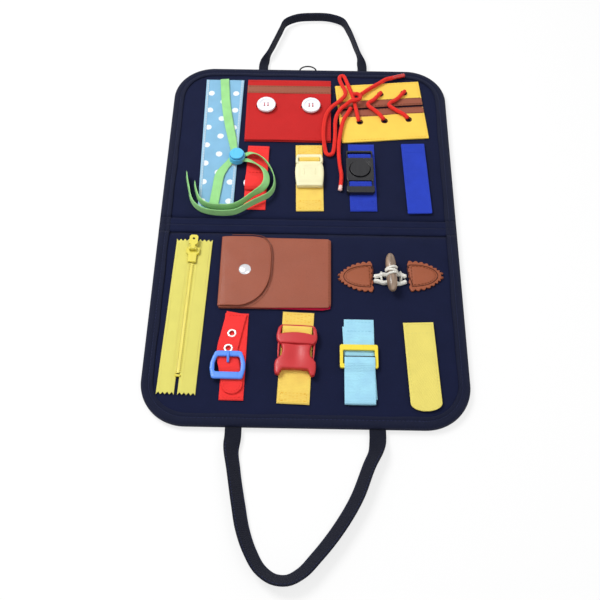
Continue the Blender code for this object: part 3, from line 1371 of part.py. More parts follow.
def make_release_buckle():
    """Side release buckle: the clip's two arms and guide run into the socket"""
    half = RELEASE_STRAP_WIDTH / 2
    far = RELEASE_STRAP_LENGTH / 2
    box("release_strap", -half, half, -far, far, 0, WEBBING, "release_strap", "yellow_webbing")
    low = SECOND_LAYER
    high = low + RELEASE_HEIGHT
    mouth = RELEASE_MOUTH_UP
    waist_low = mouth - WAIST_LENGTH
    flare_y = waist_low - FLARE_DOWN
    ear_y = waist_low - EAR_DROP
    right = [(0, ear_y + EAR_NOTCH), (EAR_HALF_IN - GAP, ear_y + EAR_NOTCH), (EAR_HALF_IN + GAP, ear_y)]
    right += [(EAR_HALF_OUT, ear_y), (FLARE_HALF, flare_y)]
    right += [(FLARE_HALF - SOCKET_CHAMFER, waist_low - SOCKET_CHAMFER), (WAIST_HALF, waist_low)]
    right += [(WAIST_HALF, mouth), (0, mouth)]
    socket = flat_shape("release_socket", [mirrored(right)], low, high, "release_strap", "red_plastic")
    arm_low = low + (RELEASE_HEIGHT - ARM_THICK) / 2
    arm_high = arm_low + ARM_THICK
    arm_in = WAIST_HALF + GAP
    arm_out = arm_in + ARM_WIDTH
    shoulder = mouth + GAP
    arm_end = shoulder - ARM_LENGTH
    guide_end = shoulder - GUIDE_LENGTH
    guide = GUIDE_HALF + GAP
    cut(socket, box("socket_guide", -guide, guide, guide_end - GAP, mouth + OVERRUN,
                    arm_low - GAP, arm_high + GAP, "release_strap", "red_plastic"))
    for count, side in enumerate((-1, 1)):
        ends = sorted((side * (arm_in - GAP), side * (arm_out + BARB + GAP)))
        pocket = box("socket_pocket_" + str(count), *ends, arm_end - GAP, waist_low + OVERRUN,
                     arm_low - GAP, arm_high + GAP, "release_strap", "red_plastic")
        cut(socket, pocket)
    top = shoulder + CLIP_HEAD_LENGTH
    outer = [(0, shoulder), (CLIP_SHOULDER_HALF - GAP, shoulder), (CLIP_SHOULDER_HALF, shoulder + GAP + GAP)]
    outer += [(CLIP_HEAD_HALF + CLIP_BAR / 2, shoulder + CLIP_SHOULDER_LENGTH)]
    outer += [(CLIP_HEAD_HALF, top - CLIP_BAR / 2), (CLIP_HEAD_HALF - CLIP_BAR / 2, top), (0, top)]
    window_high = top - CLIP_BAR
    window_low = window_high - CLIP_WINDOW_LENGTH
    window = [(0, window_low - CLIP_BAR / 2), (CLIP_WINDOW_HALF / 2, window_low - CLIP_ARCH),
              (CLIP_WINDOW_HALF, window_low), (CLIP_WINDOW_HALF, window_high), (0, window_high)]
    loops = [mirrored(outer), mirrored(window)]
    clip = flat_shape("release_clip", loops, low, high, "release_strap", "red_plastic")
    joined = shoulder + CLIP_BAR / 2
    for count, side in enumerate((-1, 1)):
        barb_y = arm_end + ARM_WIDTH
        points = [(arm_in, joined), (arm_in, arm_end), (arm_out - BARB, arm_end), (arm_out + BARB, barb_y)]
        points += [(arm_out - BARB, barb_y + ARM_WIDTH), (arm_out, joined)]
        loops = [[(side * x, y) for x, y in points]]
        word = "clip_arm_" + str(count)
        fuse(clip, flat_shape(word, loops, arm_low, arm_high, "release_strap", "red_plastic"))
    fuse(clip, box("clip_guide", -GUIDE_HALF, GUIDE_HALF, guide_end, joined, arm_low, arm_high,
                   "release_strap", "red_plastic"))


def make_slide_strap():
    """A strap folded back over the lower bar of its slide, open towards the slide's way"""
    half = SLIDE_STRAP_WIDTH / 2
    far = SLIDE_STRAP_LENGTH / 2
    over = SECOND_LAYER + SLIDE_THICK + GAP
    end = SLIDE_TOP_LAYER_LENGTH - far
    bend = end - SLIDE_SLOPE_START
    foot = bend - SLIDE_SLOPE
    outline = [(-far, 0), (far, 0), (far, WEBBING), (WEBBING - far, WEBBING), (WEBBING - far, SECOND_LAYER),
               (foot, SECOND_LAYER), (bend, over), (end, over), (end, over + WEBBING), (bend, over + WEBBING),
               (foot, SECOND_LAYER + WEBBING), (-far, SECOND_LAYER + WEBBING)]
    side_shape("slide_strap", [outline], half, "slide_strap", "light_blue_webbing")
    wide = SLIDE_WIDTH / 2
    near = -SLIDE_DOWN
    high = near + SLIDE_LENGTH
    window = rectangle(SLIDE_RAIL - wide, wide - SLIDE_RAIL, near + SLIDE_LOW_BAR, high - SLIDE_TOP_BAR)
    loops = [rectangle(-wide, wide, near, high, SLIDE_CORNER), window]
    low = SECOND_LAYER
    slide = flat_shape("slide_buckle", loops, low, low + SLIDE_THICK, "slide_strap", "yellow_plastic")
    slide.location.x = -SLIDE_SIDE_SHIFT


make_looks()
make_holders()
make_panel(LOWER, "lower")
make_panel(UPPER, "upper")
make_spine()
make_handles()
make_drawstring()
make_cord_lock()
make_button_patch()
make_lacing_patch()
make_lace()
make_ring_strap()
make_cream_buckle()
make_black_buckle()
make_tab("blue_tab", BLUE_TAB_WIDTH, BLUE_TAB_LENGTH, 0, "blue_tab_cloth")
make_zip()
make_wallet()
make_toggle()
make_belt()
make_release_buckle()
make_slide_strap()
make_tab("yellow_tab", YELLOW_TAB_WIDTH, YELLOW_TAB_LENGTH, TAB_TIP_RISE, "yellow_tab_cloth")
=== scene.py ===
"""Looks of the folding fabric busy board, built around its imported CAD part.

Metres, in the part's own frame: the board lies open on its back, +Y runs to the upper handle and
+Z rises out of its face. Soft pieces are bands, tubes and sheets that stand for their plain solids.
"""

import math

import bmesh
import bpy
import numpy as np
from mathutils import Matrix, Vector
from mathutils.geometry import delaunay_2d_cdt


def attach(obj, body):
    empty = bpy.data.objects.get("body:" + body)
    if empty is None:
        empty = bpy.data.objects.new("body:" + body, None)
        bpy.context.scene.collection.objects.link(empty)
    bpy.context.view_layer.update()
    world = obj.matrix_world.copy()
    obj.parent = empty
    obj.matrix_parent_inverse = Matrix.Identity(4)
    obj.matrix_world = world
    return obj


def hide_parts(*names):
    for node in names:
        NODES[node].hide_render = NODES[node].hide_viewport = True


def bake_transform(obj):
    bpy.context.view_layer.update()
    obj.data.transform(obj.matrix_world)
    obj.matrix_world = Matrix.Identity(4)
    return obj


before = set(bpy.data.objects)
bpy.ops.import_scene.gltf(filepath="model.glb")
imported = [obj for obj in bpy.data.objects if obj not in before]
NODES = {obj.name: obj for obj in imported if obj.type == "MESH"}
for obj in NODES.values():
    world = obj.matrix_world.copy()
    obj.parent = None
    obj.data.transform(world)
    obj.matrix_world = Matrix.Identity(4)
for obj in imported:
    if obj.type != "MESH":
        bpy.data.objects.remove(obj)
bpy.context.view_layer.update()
UP = Vector((0, 0, 1))

# Photograph
CAMERA_PLACE = (-0.00233, -0.4162, 0.6220)
CAMERA_PITCH = 61.01
CAMERA_YAW = -0.568
CAMERA_ROLL = 0.4735
FOCAL_SHARE = 832.1 / 600
SENSOR = 36.0

# Light
SKY_STRENGTH = 0.53
KEY_PLACE = (-0.55, 0.30, 0.95)
KEY_POWER = 9.4
KEY_SIZE = 0.45
FILL_PLACE = (0.5, -0.5, 1.0)
FILL_POWER = 2.7
FILL_SIZE = 0.9

# Turn of each item on its panel, in degrees, as in the part
TURNS = {
    "lacing": 5.3, "ring": -1.1, "cream": 1.3, "blue": 1.0, "blue_tab": 2.2, "zip": -1.6,
    "toggle": 2.0, "belt": -0.6, "release": -2.2, "yellow_tab": 2.4,
}

# Cloth, tape and thread
SINK = 0.0002
STEP = 0.0016
THREAD = 0.00022
STITCH = 0.0022
STITCH_GAP = 0.0009
STITCH_INSET = 0.0022
STITCH_END = 0.002
EDGE_KEEP = 0.4


def linear(level):
    share = level / 255
    return share / 12.92 if share <= 0.04045 else ((share + 0.055) / 1.055) ** 2.4


def colour(red, green, blue, lift=1.0):
    return (*(min(1, linear(level) * lift) for level in (red, green, blue)), 1)


class Wiring:
    """A procedural material: a Principled shader and the nodes that feed it"""

    def __init__(self, name, roughness, metallic=0.0, sheen=0.0, coat=0.0, shine=0.5):
        self.look = bpy.data.materials.new(name)
        self.look.use_nodes = True
        self.tree = self.look.node_tree
        self.shader = self.tree.nodes["Principled BSDF"]
        for socket, value in (("Roughness", roughness), ("Metallic", metallic), ("Sheen Weight", sheen),
                              ("Coat Weight", coat), ("Specular IOR Level", shine)):
            self.shader.inputs[socket].default_value = value
        self.place = self.add("ShaderNodeTexCoord").outputs["Object"]

    def add(self, kind, **settings):
        node = self.tree.nodes.new(kind)
        for key, value in settings.items():
            setattr(node, key, value)
        return node

    def link(self, source, socket):
        self.tree.links.new(source, socket)

    def give(self, socket, value):
        if isinstance(value, bpy.types.NodeSocket):
            self.link(value, socket)
        else:
            socket.default_value = value

    def follow(self):
        """Reads places from the piece's own flat coordinates: across, along and side"""
        self.place = self.add("ShaderNodeAttribute", attribute_name="flat").outputs["Vector"]

    def axes(self):
        return self.split(self.place)

    def split(self, vector):
        node = self.add("ShaderNodeSeparateXYZ")
        self.link(vector, node.inputs[0])
        return node.outputs

    def math(self, operation, first, second=0.0):
        node = self.add("ShaderNodeMath", operation=operation)
        self.give(node.inputs[0], first)
        self.give(node.inputs[1], second)
        return node.outputs[0]

    def scaled(self, x, y, z):
        node = self.add("ShaderNodeVectorMath", operation="MULTIPLY")
        self.link(self.place, node.inputs[0])
        node.inputs[1].default_value = (x, y, z)
        return node.outputs[0]

    def noise(self, scale, detail=2.0, place=None):
        node = self.add("ShaderNodeTexNoise")
        self.link(place or self.place, node.inputs["Vector"])
        node.inputs["Scale"].default_value = scale
        node.inputs["Detail"].default_value = detail
        return node.outputs["Fac"]

    def cells(self, scale, feature="F1"):
        node = self.add("ShaderNodeTexVoronoi", feature=feature)
        self.link(self.place, node.inputs["Vector"])
        node.inputs["Scale"].default_value = scale
        return node.outputs["Distance"]

    def remap(self, value, low, high, to_low, to_high):
        node = self.add("ShaderNodeMapRange")
        for socket, given in zip(node.inputs, (value, low, high, to_low, to_high)):
            self.give(socket, given)
        return node.outputs[0]

    def mix(self, share, first, second):
        node = self.add("ShaderNodeMix", data_type="RGBA")
        self.give(node.inputs[0], share)
        self.give(node.inputs[6], first)
        self.give(node.inputs[7], second)
        return node.outputs[2]

    def wave(self, axis, pitch):
        """A smooth ridge every pitch along one axis, from minus one to one"""
        return self.math("SINE", self.math("MULTIPLY", axis, 2 * math.pi / pitch))

    def paint(self, value):
        self.give(self.shader.inputs["Base Color"], value)

    def bump(self, height, distance, strength=1.0):
        node = self.add("ShaderNodeBump")
        node.inputs["Strength"].default_value = strength
        node.inputs["Distance"].default_value = distance
        self.link(height, node.inputs["Height"])
        self.link(node.outputs[0], self.shader.inputs["Normal"])

    def worn(self, base, spread, scale=60.0):
        """The base colour, a little lighter and darker in soft patches"""
        dark = tuple(level * (1 - spread) for level in base[:3]) + (1,)
        light = tuple(min(1, level * (1 + spread)) for level in base[:3]) + (1,)
        return self.mix(self.remap(self.noise(scale, 3), 0.3, 0.7, 0.0, 1.0), dark, light)


def cloth_look(name, rgb, pitch=0.0009, height=0.00012, spread=0.10, sheen=0.03, flat=True, lint=0.0):
    """Plain weave, with crossing threads, soft patches of tone, painted shade across the weave and a little
    lint
    """
    w = Wiring(name, 0.9, sheen=sheen, shine=0.12)
    if flat:
        w.follow()
    x, y, _ = w.axes()
    weave = w.math("MULTIPLY", w.wave(x, pitch), w.wave(y, pitch))
    fuzz = w.noise(1800, 2)
    base = w.worn(colour(*rgb), spread)
    # Painted shade: part of each weave cell is drawn darker, standing in for the shade between the threads
    shade = w.remap(weave, -1, 1, 0.0, 0.22)
    base = w.mix(shade, base, colour(*rgb, lift=0.55))
    if lint:
        specks = w.remap(w.noise(900, 1), 0.70, 0.76, 0.0, lint)
        base = w.mix(specks, base, colour(*rgb, lift=4.0))
    w.paint(base)
    w.bump(w.math("ADD", weave, w.math("MULTIPLY", fuzz, 1.5)), height, 0.7)
    return w.look


def webbing_look(name, rgb, pitch=0.0013, spread=0.07, sheen=0.03, height=0.00016):
    """Woven strap: ribs across it, each broken by the warp threads"""
    w = Wiring(name, 0.75, sheen=sheen, shine=0.18)
    w.follow()
    x, y, _ = w.axes()
    warp = w.wave(x, pitch * 0.62)
    slant = w.math("ADD", y, w.math("MULTIPLY", w.math("ABSOLUTE", w.wave(x, pitch * 4)), pitch * 0.5))
    ribs = w.wave(slant, pitch)
    weave = w.math("ADD", ribs, w.math("MULTIPLY", warp, 0.6))
    base = w.worn(colour(*rgb), spread, 90)
    # Painted shade: darker in the hollows between the ribs and warp threads
    base = w.mix(w.remap(weave, -1.6, 1.6, 0.20, 0.0), base, colour(*rgb, lift=0.5))
    w.paint(base)
    w.bump(w.math("ADD", weave, w.math("MULTIPLY", w.noise(1500, 2), 0.8)), height, 0.8)
    return w.look


def leather_look(name, rgb, flat=True):
    w = Wiring(name, 0.5, coat=0.03, shine=0.3)
    if flat:
        w.follow()
    grain = w.cells(1100, "DISTANCE_TO_EDGE")
    pores = w.noise(2600, 3)
    base = w.worn(colour(*rgb), 0.04, 45)
    # Painted shade: darker in the grain's creases
    base = w.mix(w.remap(grain, 0.0, 0.12, 0.35, 0.0), base, colour(*rgb, lift=0.5))
    w.paint(base)
    w.link(w.remap(w.noise(70, 2), 0.3, 0.7, 0.42, 0.58), w.shader.inputs["Roughness"])
    w.bump(w.math("ADD", w.remap(grain, 0.0, 0.15, 0.0, 1.0), pores), 0.00010, 0.6)
    return w.look


def plastic_look(name, rgb, roughness=0.32, coat=0.15, spread=0.04):
    """Moulded plastic: faint flow marks, dulled patches and fine scuffs"""
    w = Wiring(name, roughness, coat=coat, shine=0.35)
    w.shader.inputs["Coat Roughness"].default_value = 0.2
    base = w.worn(colour(*rgb), spread, 70)
    w.paint(base)
    scuffs = w.noise(60, 4, w.scaled(9, 1, 1))
    w.link(w.remap(scuffs, 0.35, 0.75, roughness - 0.06, roughness + 0.14), w.shader.inputs["Roughness"])
    w.bump(w.noise(420, 2), 0.00006, 0.35)
    return w.look


def thread_look(name, rgb):
    w = Wiring(name, 0.8, sheen=0.05, shine=0.15)
    x, y, z = w.axes()
    twist = w.wave(w.math("ADD", w.math("ADD", x, y), z), 0.0005)
    # Painted shade: a darker stripe along the twist of the plies
    w.paint(w.mix(w.remap(twist, -1, 1, 0.0, 0.35), colour(*rgb), colour(*rgb, lift=0.6)))
    w.bump(twist, 0.00005, 0.6)
    return w.look


def cord_look(name, rgb, pitch=0.0016, turns=4.0, height=0.00022):
    """Braid: two sets of strands that cross as they wind round the cord"""
    w = Wiring(name, 0.7, sheen=0.05, shine=0.2)
    w.follow()
    around, along, _ = w.axes()
    winding = w.math("MULTIPLY", around, turns)
    advance = w.math("MULTIPLY", along, 2 * math.pi / pitch)
    one = w.math("SINE", w.math("ADD", winding, advance))
    other = w.math("SINE", w.math("SUBTRACT", winding, advance))
    braid = w.math("MULTIPLY", one, other)
    base = w.worn(colour(*rgb), 0.08, 90)
    # Painted shade: darker where the strands dip under each other
    w.paint(w.mix(w.remap(braid, -1, 1, 0.35, 0.0), base, colour(*rgb, lift=0.45)))
    w.bump(w.math("ADD", braid, w.math("MULTIPLY", w.noise(1600, 1), 0.6)), height, 0.8)
    return w.look


def horn_look(name, rgb):
    w = Wiring(name, 0.35, coat=0.2)
    streaks = w.noise(55, 5, w.scaled(6, 1, 6))
    light = w.remap(streaks, 0.35, 0.65, 0.0, 1.0)
    w.paint(w.mix(light, colour(*rgb, lift=0.62), colour(*rgb, lift=1.5)))
    w.bump(w.noise(300, 3), 0.00008, 0.4)
    return w.look


def metal_look(name, rgb, roughness=0.18):
    w = Wiring(name, roughness, metallic=1.0)
    w.paint(w.worn(colour(*rgb), 0.04, 200))
    w.link(w.remap(w.noise(900, 3), 0.3, 0.7, roughness - 0.06, roughness + 0.10),
           w.shader.inputs["Roughness"])
    w.bump(w.noise(700, 2), 0.00002, 0.4)
    return w.look


DOT_PITCH_X = 0.0121
DOT_PITCH_Y = 0.0215
DOT_RADIUS = 0.0030
DOT_SHIFT_X = -0.0006
DOT_SHIFT_Y = -0.0031


def dotted_look(name, rgb):
    """Light cotton with staggered rows of round white dots and a thin woven texture"""
    w = Wiring(name, 0.9, sheen=0.03, shine=0.12)
    w.follow()
    x, y, _ = w.axes()
    wobble = w.math("MULTIPLY", w.math("SUBTRACT", w.noise(120, 1), 0.5), 0.0012)
    across = w.math("ADD", w.math("SUBTRACT", x, DOT_SHIFT_X), wobble)
    column = w.math("ROUND", w.math("DIVIDE", across, DOT_PITCH_X))
    from_column = w.math("SUBTRACT", across, w.math("MULTIPLY", column, DOT_PITCH_X))
    stagger = w.math("MULTIPLY", w.math("ABSOLUTE", column), DOT_PITCH_Y / 2)
    along = w.math("ADD", w.math("SUBTRACT", y, DOT_SHIFT_Y), stagger)
    row = w.math("ROUND", w.math("DIVIDE", along, DOT_PITCH_Y))
    from_row = w.math("SUBTRACT", along, w.math("MULTIPLY", row, DOT_PITCH_Y))
    squares = w.math("ADD", w.math("MULTIPLY", from_column, from_column),
                     w.math("MULTIPLY", from_row, from_row))
    distance = w.math("SQRT", squares)
    rough_edge = w.math("ADD", distance, w.math("MULTIPLY", w.math("SUBTRACT", w.noise(900, 1), 0.5), 0.0008))
    dot = w.remap(rough_edge, DOT_RADIUS - 0.0002, DOT_RADIUS + 0.0002, 1.0, 0.0)
    weave = w.math("MULTIPLY", w.wave(x, 0.0007), w.wave(y, 0.0007))
    base = w.mix(dot, w.worn(colour(*rgb), 0.06), colour(242, 246, 250))
    # Painted shade: part of each weave cell is drawn darker
    w.paint(w.mix(w.remap(weave, -1, 1, 0.0, 0.18), base, colour(*rgb, lift=0.7)))
    w.bump(w.math("ADD", weave, w.math("MULTIPLY", w.noise(1800, 2), 1.2)), 0.00009, 0.7)
    return w.look


LOOKS = {
    "navy": cloth_look("navy_weave", (19, 25, 54), 0.0010, spread=0.06, lint=0.3),
    "binding": webbing_look("navy_binding_tape", (11, 18, 45), 0.0012),
    "handle": webbing_look("navy_handle_tape", (10, 14, 31), 0.0014),
    "navy_thread": thread_look("navy_thread", (46, 52, 88)),
    "elastic": cord_look("black_elastic_cord", (30, 30, 34), 0.0010, 3.0, 0.0001),
    "dotted": dotted_look("dotted_cotton", (134, 184, 216)),
    "green": webbing_look("green_flat_tape", (160, 224, 146), 0.0009, height=0.00010),
    "sky": plastic_look("sky_plastic", (88, 188, 235)),
    "red_cloth": cloth_look("red_twill", (198, 42, 42), 0.0008, spread=0.04),
    "yellow_cloth": cloth_look("yellow_twill", (255, 214, 92), 0.0008, spread=0.04),
    "trim": leather_look("brown_trim", (150, 82, 60)),
    "white": plastic_look("white_plastic", (232, 234, 240), 0.28),
    "white_thread": thread_look("white_thread", (235, 232, 226)),
    "lace": cord_look("red_lace", (244, 48, 38), 0.0018, 5.0),
    "lace_tip": plastic_look("lace_tip", (246, 196, 188), 0.25, 0.4),
    "red_web": webbing_look("red_webbing", (255, 58, 56)),
    "yellow_web": webbing_look("yellow_webbing", (255, 216, 104)),
    "blue_web": webbing_look("blue_webbing", (38, 62, 186)),
    "sky_web": webbing_look("light_blue_webbing", (170, 228, 255)),
    "cream": plastic_look("cream_plastic", (232, 226, 184), 0.36),
    "black": plastic_look("black_plastic", (26, 26, 30), 0.30),
    "blue_tab": cloth_look("blue_loop_tape", (40, 66, 190), 0.0013, 0.0002, 0.08, 0.08),
    "yellow_tab": cloth_look("yellow_loop_tape", (238, 222, 116), 0.0013, 0.0002, 0.04, 0.05),
    "zip": cloth_look("yellow_zip_tape", (222, 214, 112), 0.0011, 0.00014, 0.03, 0.05),
    "zip_teeth": plastic_look("yellow_zip_teeth", (230, 218, 104), 0.4),
    "zip_metal": plastic_look("yellow_enamel", (216, 202, 70), 0.28, 0.4),
    "leather": leather_look("brown_leather", (150, 80, 58)),
    "lining": cloth_look("crimson_lining", (160, 12, 48), 0.0007),
    "snap": metal_look("snap_chrome", (222, 222, 226)),
    "tan": leather_look("tan_leather", (152, 80, 50)),
    "cord": cord_look("natural_cord", (252, 248, 238), 0.0016, 4.0),
    "horn": horn_look("horn_button", (134, 112, 94)),
    "blue": plastic_look("blue_plastic", (82, 138, 236)),
    "red": plastic_look("red_plastic", (190, 44, 48), 0.45, 0.10),
    "yellow": plastic_look("yellow_plastic", (238, 214, 62)),
    "red_thread": thread_look("red_thread", (222, 44, 40)),
    "yellow_thread": thread_look("yellow_thread", (244, 190, 60)),
    "blue_thread": thread_look("blue_thread", (50, 76, 196)),
    "sky_thread": thread_look("light_blue_thread", (150, 214, 240)),
    "tan_thread": thread_look("tan_thread", (120, 62, 32)),
    "pale_thread": thread_look("pale_thread", (226, 214, 120)),
    "metal_eyelet": metal_look("pale_eyelet", (226, 218, 212), 0.3),
    "pale_cotton": cloth_look("pale_cotton", (164, 202, 226), 0.0008, spread=0.04),
    "dark_rim": thread_look("brown_rim_thread", (96, 50, 34)),
    "lace_tip_red": plastic_look("lace_tip_red", (190, 34, 30), 0.25, 0.4),
    # A darker copy of the leather, for the painted shade of the wallet flap's rolled edge
    "edge_shade_leather": leather_look("painted_edge_shade", (110, 56, 42)),
}


class Spot:
    """Where a CAD node lies: its middle in plan, its turn, and its half sizes in its own directions"""

    def __init__(self, node, turn=0.0):
        angle = math.radians(turn)
        self.across = Vector((math.cos(angle), math.sin(angle), 0))
        self.along = Vector((-math.sin(angle), math.cos(angle), 0))
        places = np.array([vertex.co for vertex in NODES[node].data.vertices])
        x = places @ np.array(self.across)
        y = places @ np.array(self.along)
        self.middle = self.across * float(x.min() + x.max()) / 2 + self.along * float(y.min() + y.max()) / 2
        self.half_x = float(x.max() - x.min()) / 2
        self.half_y = float(y.max() - y.min()) / 2
        self.low = float(places[:, 2].min())
        self.high = float(places[:, 2].max())

    def at(self, x, y, z):
        """The world place x across and y along from the middle, at the height z"""
        return self.middle + self.across * x + self.along * y + UP * z


    def line_across(self, inset, y, z):
        return [self.at(-self.half_x + inset, y, z), self.at(self.half_x - inset, y, z)]


def new_mesh(name, points, faces, look, body, nodes=(), flat=None, smooth=True):
    """A piece made of points and faces that rides a body and stands for its CAD nodes"""
    mesh = bpy.data.meshes.new(name)
    mesh.from_pydata([tuple(point) for point in points], [], faces)
    mesh.validate()
    if flat is not None:
        attribute = mesh.attributes.new("flat", "FLOAT_VECTOR", "POINT")
        attribute.data.foreach_set("vector", np.array(flat, np.float32).ravel())
    mesh.materials.append(LOOKS[look])
    mesh.shade_smooth() if smooth else mesh.shade_flat()
    obj = bpy.data.objects.new(name, mesh)
    bpy.context.scene.collection.objects.link(obj)
    if body:
        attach(obj, body)
    if nodes:
        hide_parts(*nodes)
    return obj


def smooth_route(rows, spacing):
    """A smooth curve through the rows, read at even steps along its length"""
    rows = np.array(rows, float)
    steps = np.linalg.norm(np.diff(rows[:, :3], axis=0), axis=1)
    along = np.concatenate([[0], np.cumsum(steps)])
    slopes = np.gradient(rows, along, axis=0)
    count = max(2, round(along[-1] / spacing))
    read = []
    for at in np.linspace(0, along[-1], count + 1):
        k = min(np.searchsorted(along, at, side="right") - 1, len(rows) - 2)
        length = along[k + 1] - along[k]
        t = (at - along[k]) / length
        start = (1 + 2 * t) * (1 - t) ** 2 * rows[k] + t * (1 - t) ** 2 * length * slopes[k]
        end = t * t * (3 - 2 * t) * rows[k + 1] + t * t * (t - 1) * length * slopes[k + 1]
        read.append(start + end)
    return np.array(read)


def straight_route(rows, spacing):
    """The straight runs between the rows, each cut into even steps"""
    read = [np.array(rows[0], float)]
    for before, after in zip(rows, rows[1:]):
        before, after = np.array(before, float), np.array(after, float)
        count = max(1, math.ceil(np.linalg.norm(after[:3] - before[:3]) / spacing))
        read += [before + (after - before) * step / count for step in range(1, count + 1)]
    return np.array(read)


def band(name, stations, thick, look, body, nodes=(), cells=10, shape=None):
    """A strip with rounded edges. A station is its middle, the way across with its half width as
    length, and its shift towards one side. shape moves a point by its share across, its along and face."""
    points, flat, faces = [], [], []
    middles = [station[0] for station in stations]
    along = [0.0]
    for before, after in zip(middles, middles[1:]):
        along.append(along[-1] + (after - before).length)
    ring = 2 * (cells + 1)
    for count, (middle, side) in enumerate(stations):
        ahead = middles[min(count + 1, len(middles) - 1)] - middles[max(count - 1, 0)]
        top = side.cross(ahead).normalized()
        end = min(along[count], along[-1] - along[count])
        swell = min(1.0, EDGE_KEEP + end / thick)
        for face in (1, -1):
            for cell in range(cells + 1):
                share = math.sin(math.pi / 2 * (face * (2 * cell / cells - 1)))
                edge = EDGE_KEEP + (1 - EDGE_KEEP) * math.sqrt(max(0.0, 1 - share ** 8))
                point = middle + side * share + top * (face * thick / 2 * edge * swell)
                if shape:
                    point = point + shape(share, along[count], face, along[-1])
                points.append(point)
                flat.append((share * side.length, along[count], face))
    for count in range(len(stations) - 1):
        for k in range(ring):
            a, b = count * ring + k, count * ring + (k + 1) % ring
            faces.append((a, b, b + ring, a + ring))
    last = (len(stations) - 1) * ring
    for cell in range(cells):
        faces.append((cell + 1, cell, ring - 1 - cell, ring - 2 - cell))
        faces.append((last + cell, last + cell + 1, last + ring - 2 - cell, last + ring - 1 - cell))
    return new_mesh(name, points, faces, look, body, nodes, flat)


def ripple(amount, length=0.03, seed=0.0, lift=0.0):
    """A gentle unevenness of laid cloth, for a band's shape"""
    def shape(share, along, face, total):
        wave = math.sin(along / length * 2 * math.pi + seed) * math.cos(share * 2.1 + seed * 1.7)
        wave += 0.6 * math.sin(along / length * 4.7 + share * 3.3 + seed * 2.3)
        return UP * (amount * wave + lift)
    return shape


def flat_band(name, spot, rows, thick, look, body, nodes=(), cells=10, shape=None, step=STEP):
    """A band on a spot. Each row is: along, left edge, right edge, height of the middle of its thickness"""
    stations = []
    for y, left, right, z in straight_route(rows, step):
        stations.append((spot.at((left + right) / 2, y, z), spot.across * ((right - left) / 2)))
    return band(name, stations, thick, look, body, nodes, cells, shape)


def strap(name, spot, look, body, nodes, thick, z=None, shape=None):
    """A plain length of webbing that fills its spot"""
    height = (spot.low + thick / 2 if z is None else z) - SINK
    rows = [(-spot.half_y, -spot.half_x, spot.half_x, height),
            (spot.half_y, -spot.half_x, spot.half_x, height)]
    return flat_band(name, spot, rows, thick, look, body, nodes, 12, shape or ripple(0.00010, 0.022))


def tube(name, route, radius, look, body, nodes=(), sides=14, squeeze=None):
    """A round cord along a route, closed with round ends"""
    places = [Vector(place[:3]) for place in route]
    points, flat, faces = [], [], []
    normal = None
    along = 0.0
    for count, place in enumerate(places):
        ahead = (places[min(count + 1, len(places) - 1)] - places[max(count - 1, 0)]).normalized()
        if normal is None:
            normal = ahead.orthogonal().normalized()
        normal = (normal - ahead * normal.dot(ahead)).normalized()
        other = ahead.cross(normal)
        if count:
            along += (place - places[count - 1]).length
        size = radius * (squeeze(count / (len(places) - 1)) if squeeze else 1.0)
        for side in range(sides):
            angle = 2 * math.pi * side / sides
            points.append(place + (normal * math.cos(angle) + other * math.sin(angle)) * size)
            flat.append((angle if side else 0.0, along, 0))
    for count in range(len(places) - 1):
        for side in range(sides):
            a, b = count * sides + side, count * sides + (side + 1) % sides
            faces.append((a, b, b + sides, a + sides))
    first = places[0] + (places[0] - places[1]).normalized() * radius * 0.5
    last = places[-1] + (places[-1] - places[-2]).normalized() * radius * 0.5
    points += [first, last]
    flat += [(0, 0, 0), (0, along, 0)]
    start, finish = len(points) - 2, len(points) - 1
    base = (len(places) - 1) * sides
    for side in range(sides):
        beside = (side + 1) % sides
        faces += [(beside, side, start), (base + side, base + beside, finish)]
    return new_mesh(name, points, faces, look, body, nodes, flat)


def stitches(name, lines, look, body, radius=THREAD, length=STITCH, gap=STITCH_GAP):
    """Sewn stitches along each line of world places, half sunk in the cloth, as one piece"""
    points, faces = [], []
    shares = ((0.0, 0.2), (0.15, 0.8), (0.5, 1.0), (0.85, 0.8), (1.0, 0.2))
    for line in lines:
        line = [Vector(place) for place in line]
        for before, after in zip(line, line[1:]):
            run = (after - before).length
            count = max(1, round((run + gap) / (length + gap)))
            pitch = run / count
            way = (after - before).normalized()
            beside = way.cross(UP).normalized()
            for k in range(count):
                start = before + way * (k * pitch + gap / 2)
                base = len(points)
                for share, size in shares:
                    for side in range(6):
                        angle = math.pi * side / 3
                        off = beside * math.cos(angle) + UP * math.sin(angle)
                        points.append(start + way * ((pitch - gap) * share) + off * radius * size)
                for ring in range(len(shares) - 1):
                    for side in range(6):
                        a, b = base + ring * 6 + side, base + ring * 6 + (side + 1) % 6
                        faces.append((a, b, b + 6, a + 6))
                end = base + 6 * (len(shares) - 1)
                faces.append(tuple(base + side for side in reversed(range(6))))
                faces.append(tuple(end + side for side in range(6)))
    return new_mesh(name, points, faces, look, body)


def sewn_box(spot, near, far, half, z, cross=True):
    """The lines of a sewn box, with a cross in it"""
    corners = [spot.at(-half, near, z), spot.at(half, near, z), spot.at(half, far, z), spot.at(-half, far, z)]
    lines = [corners + corners[:1]]
    if cross:
        lines += [[corners[0], corners[2]], [corners[1], corners[3]]]
    return lines


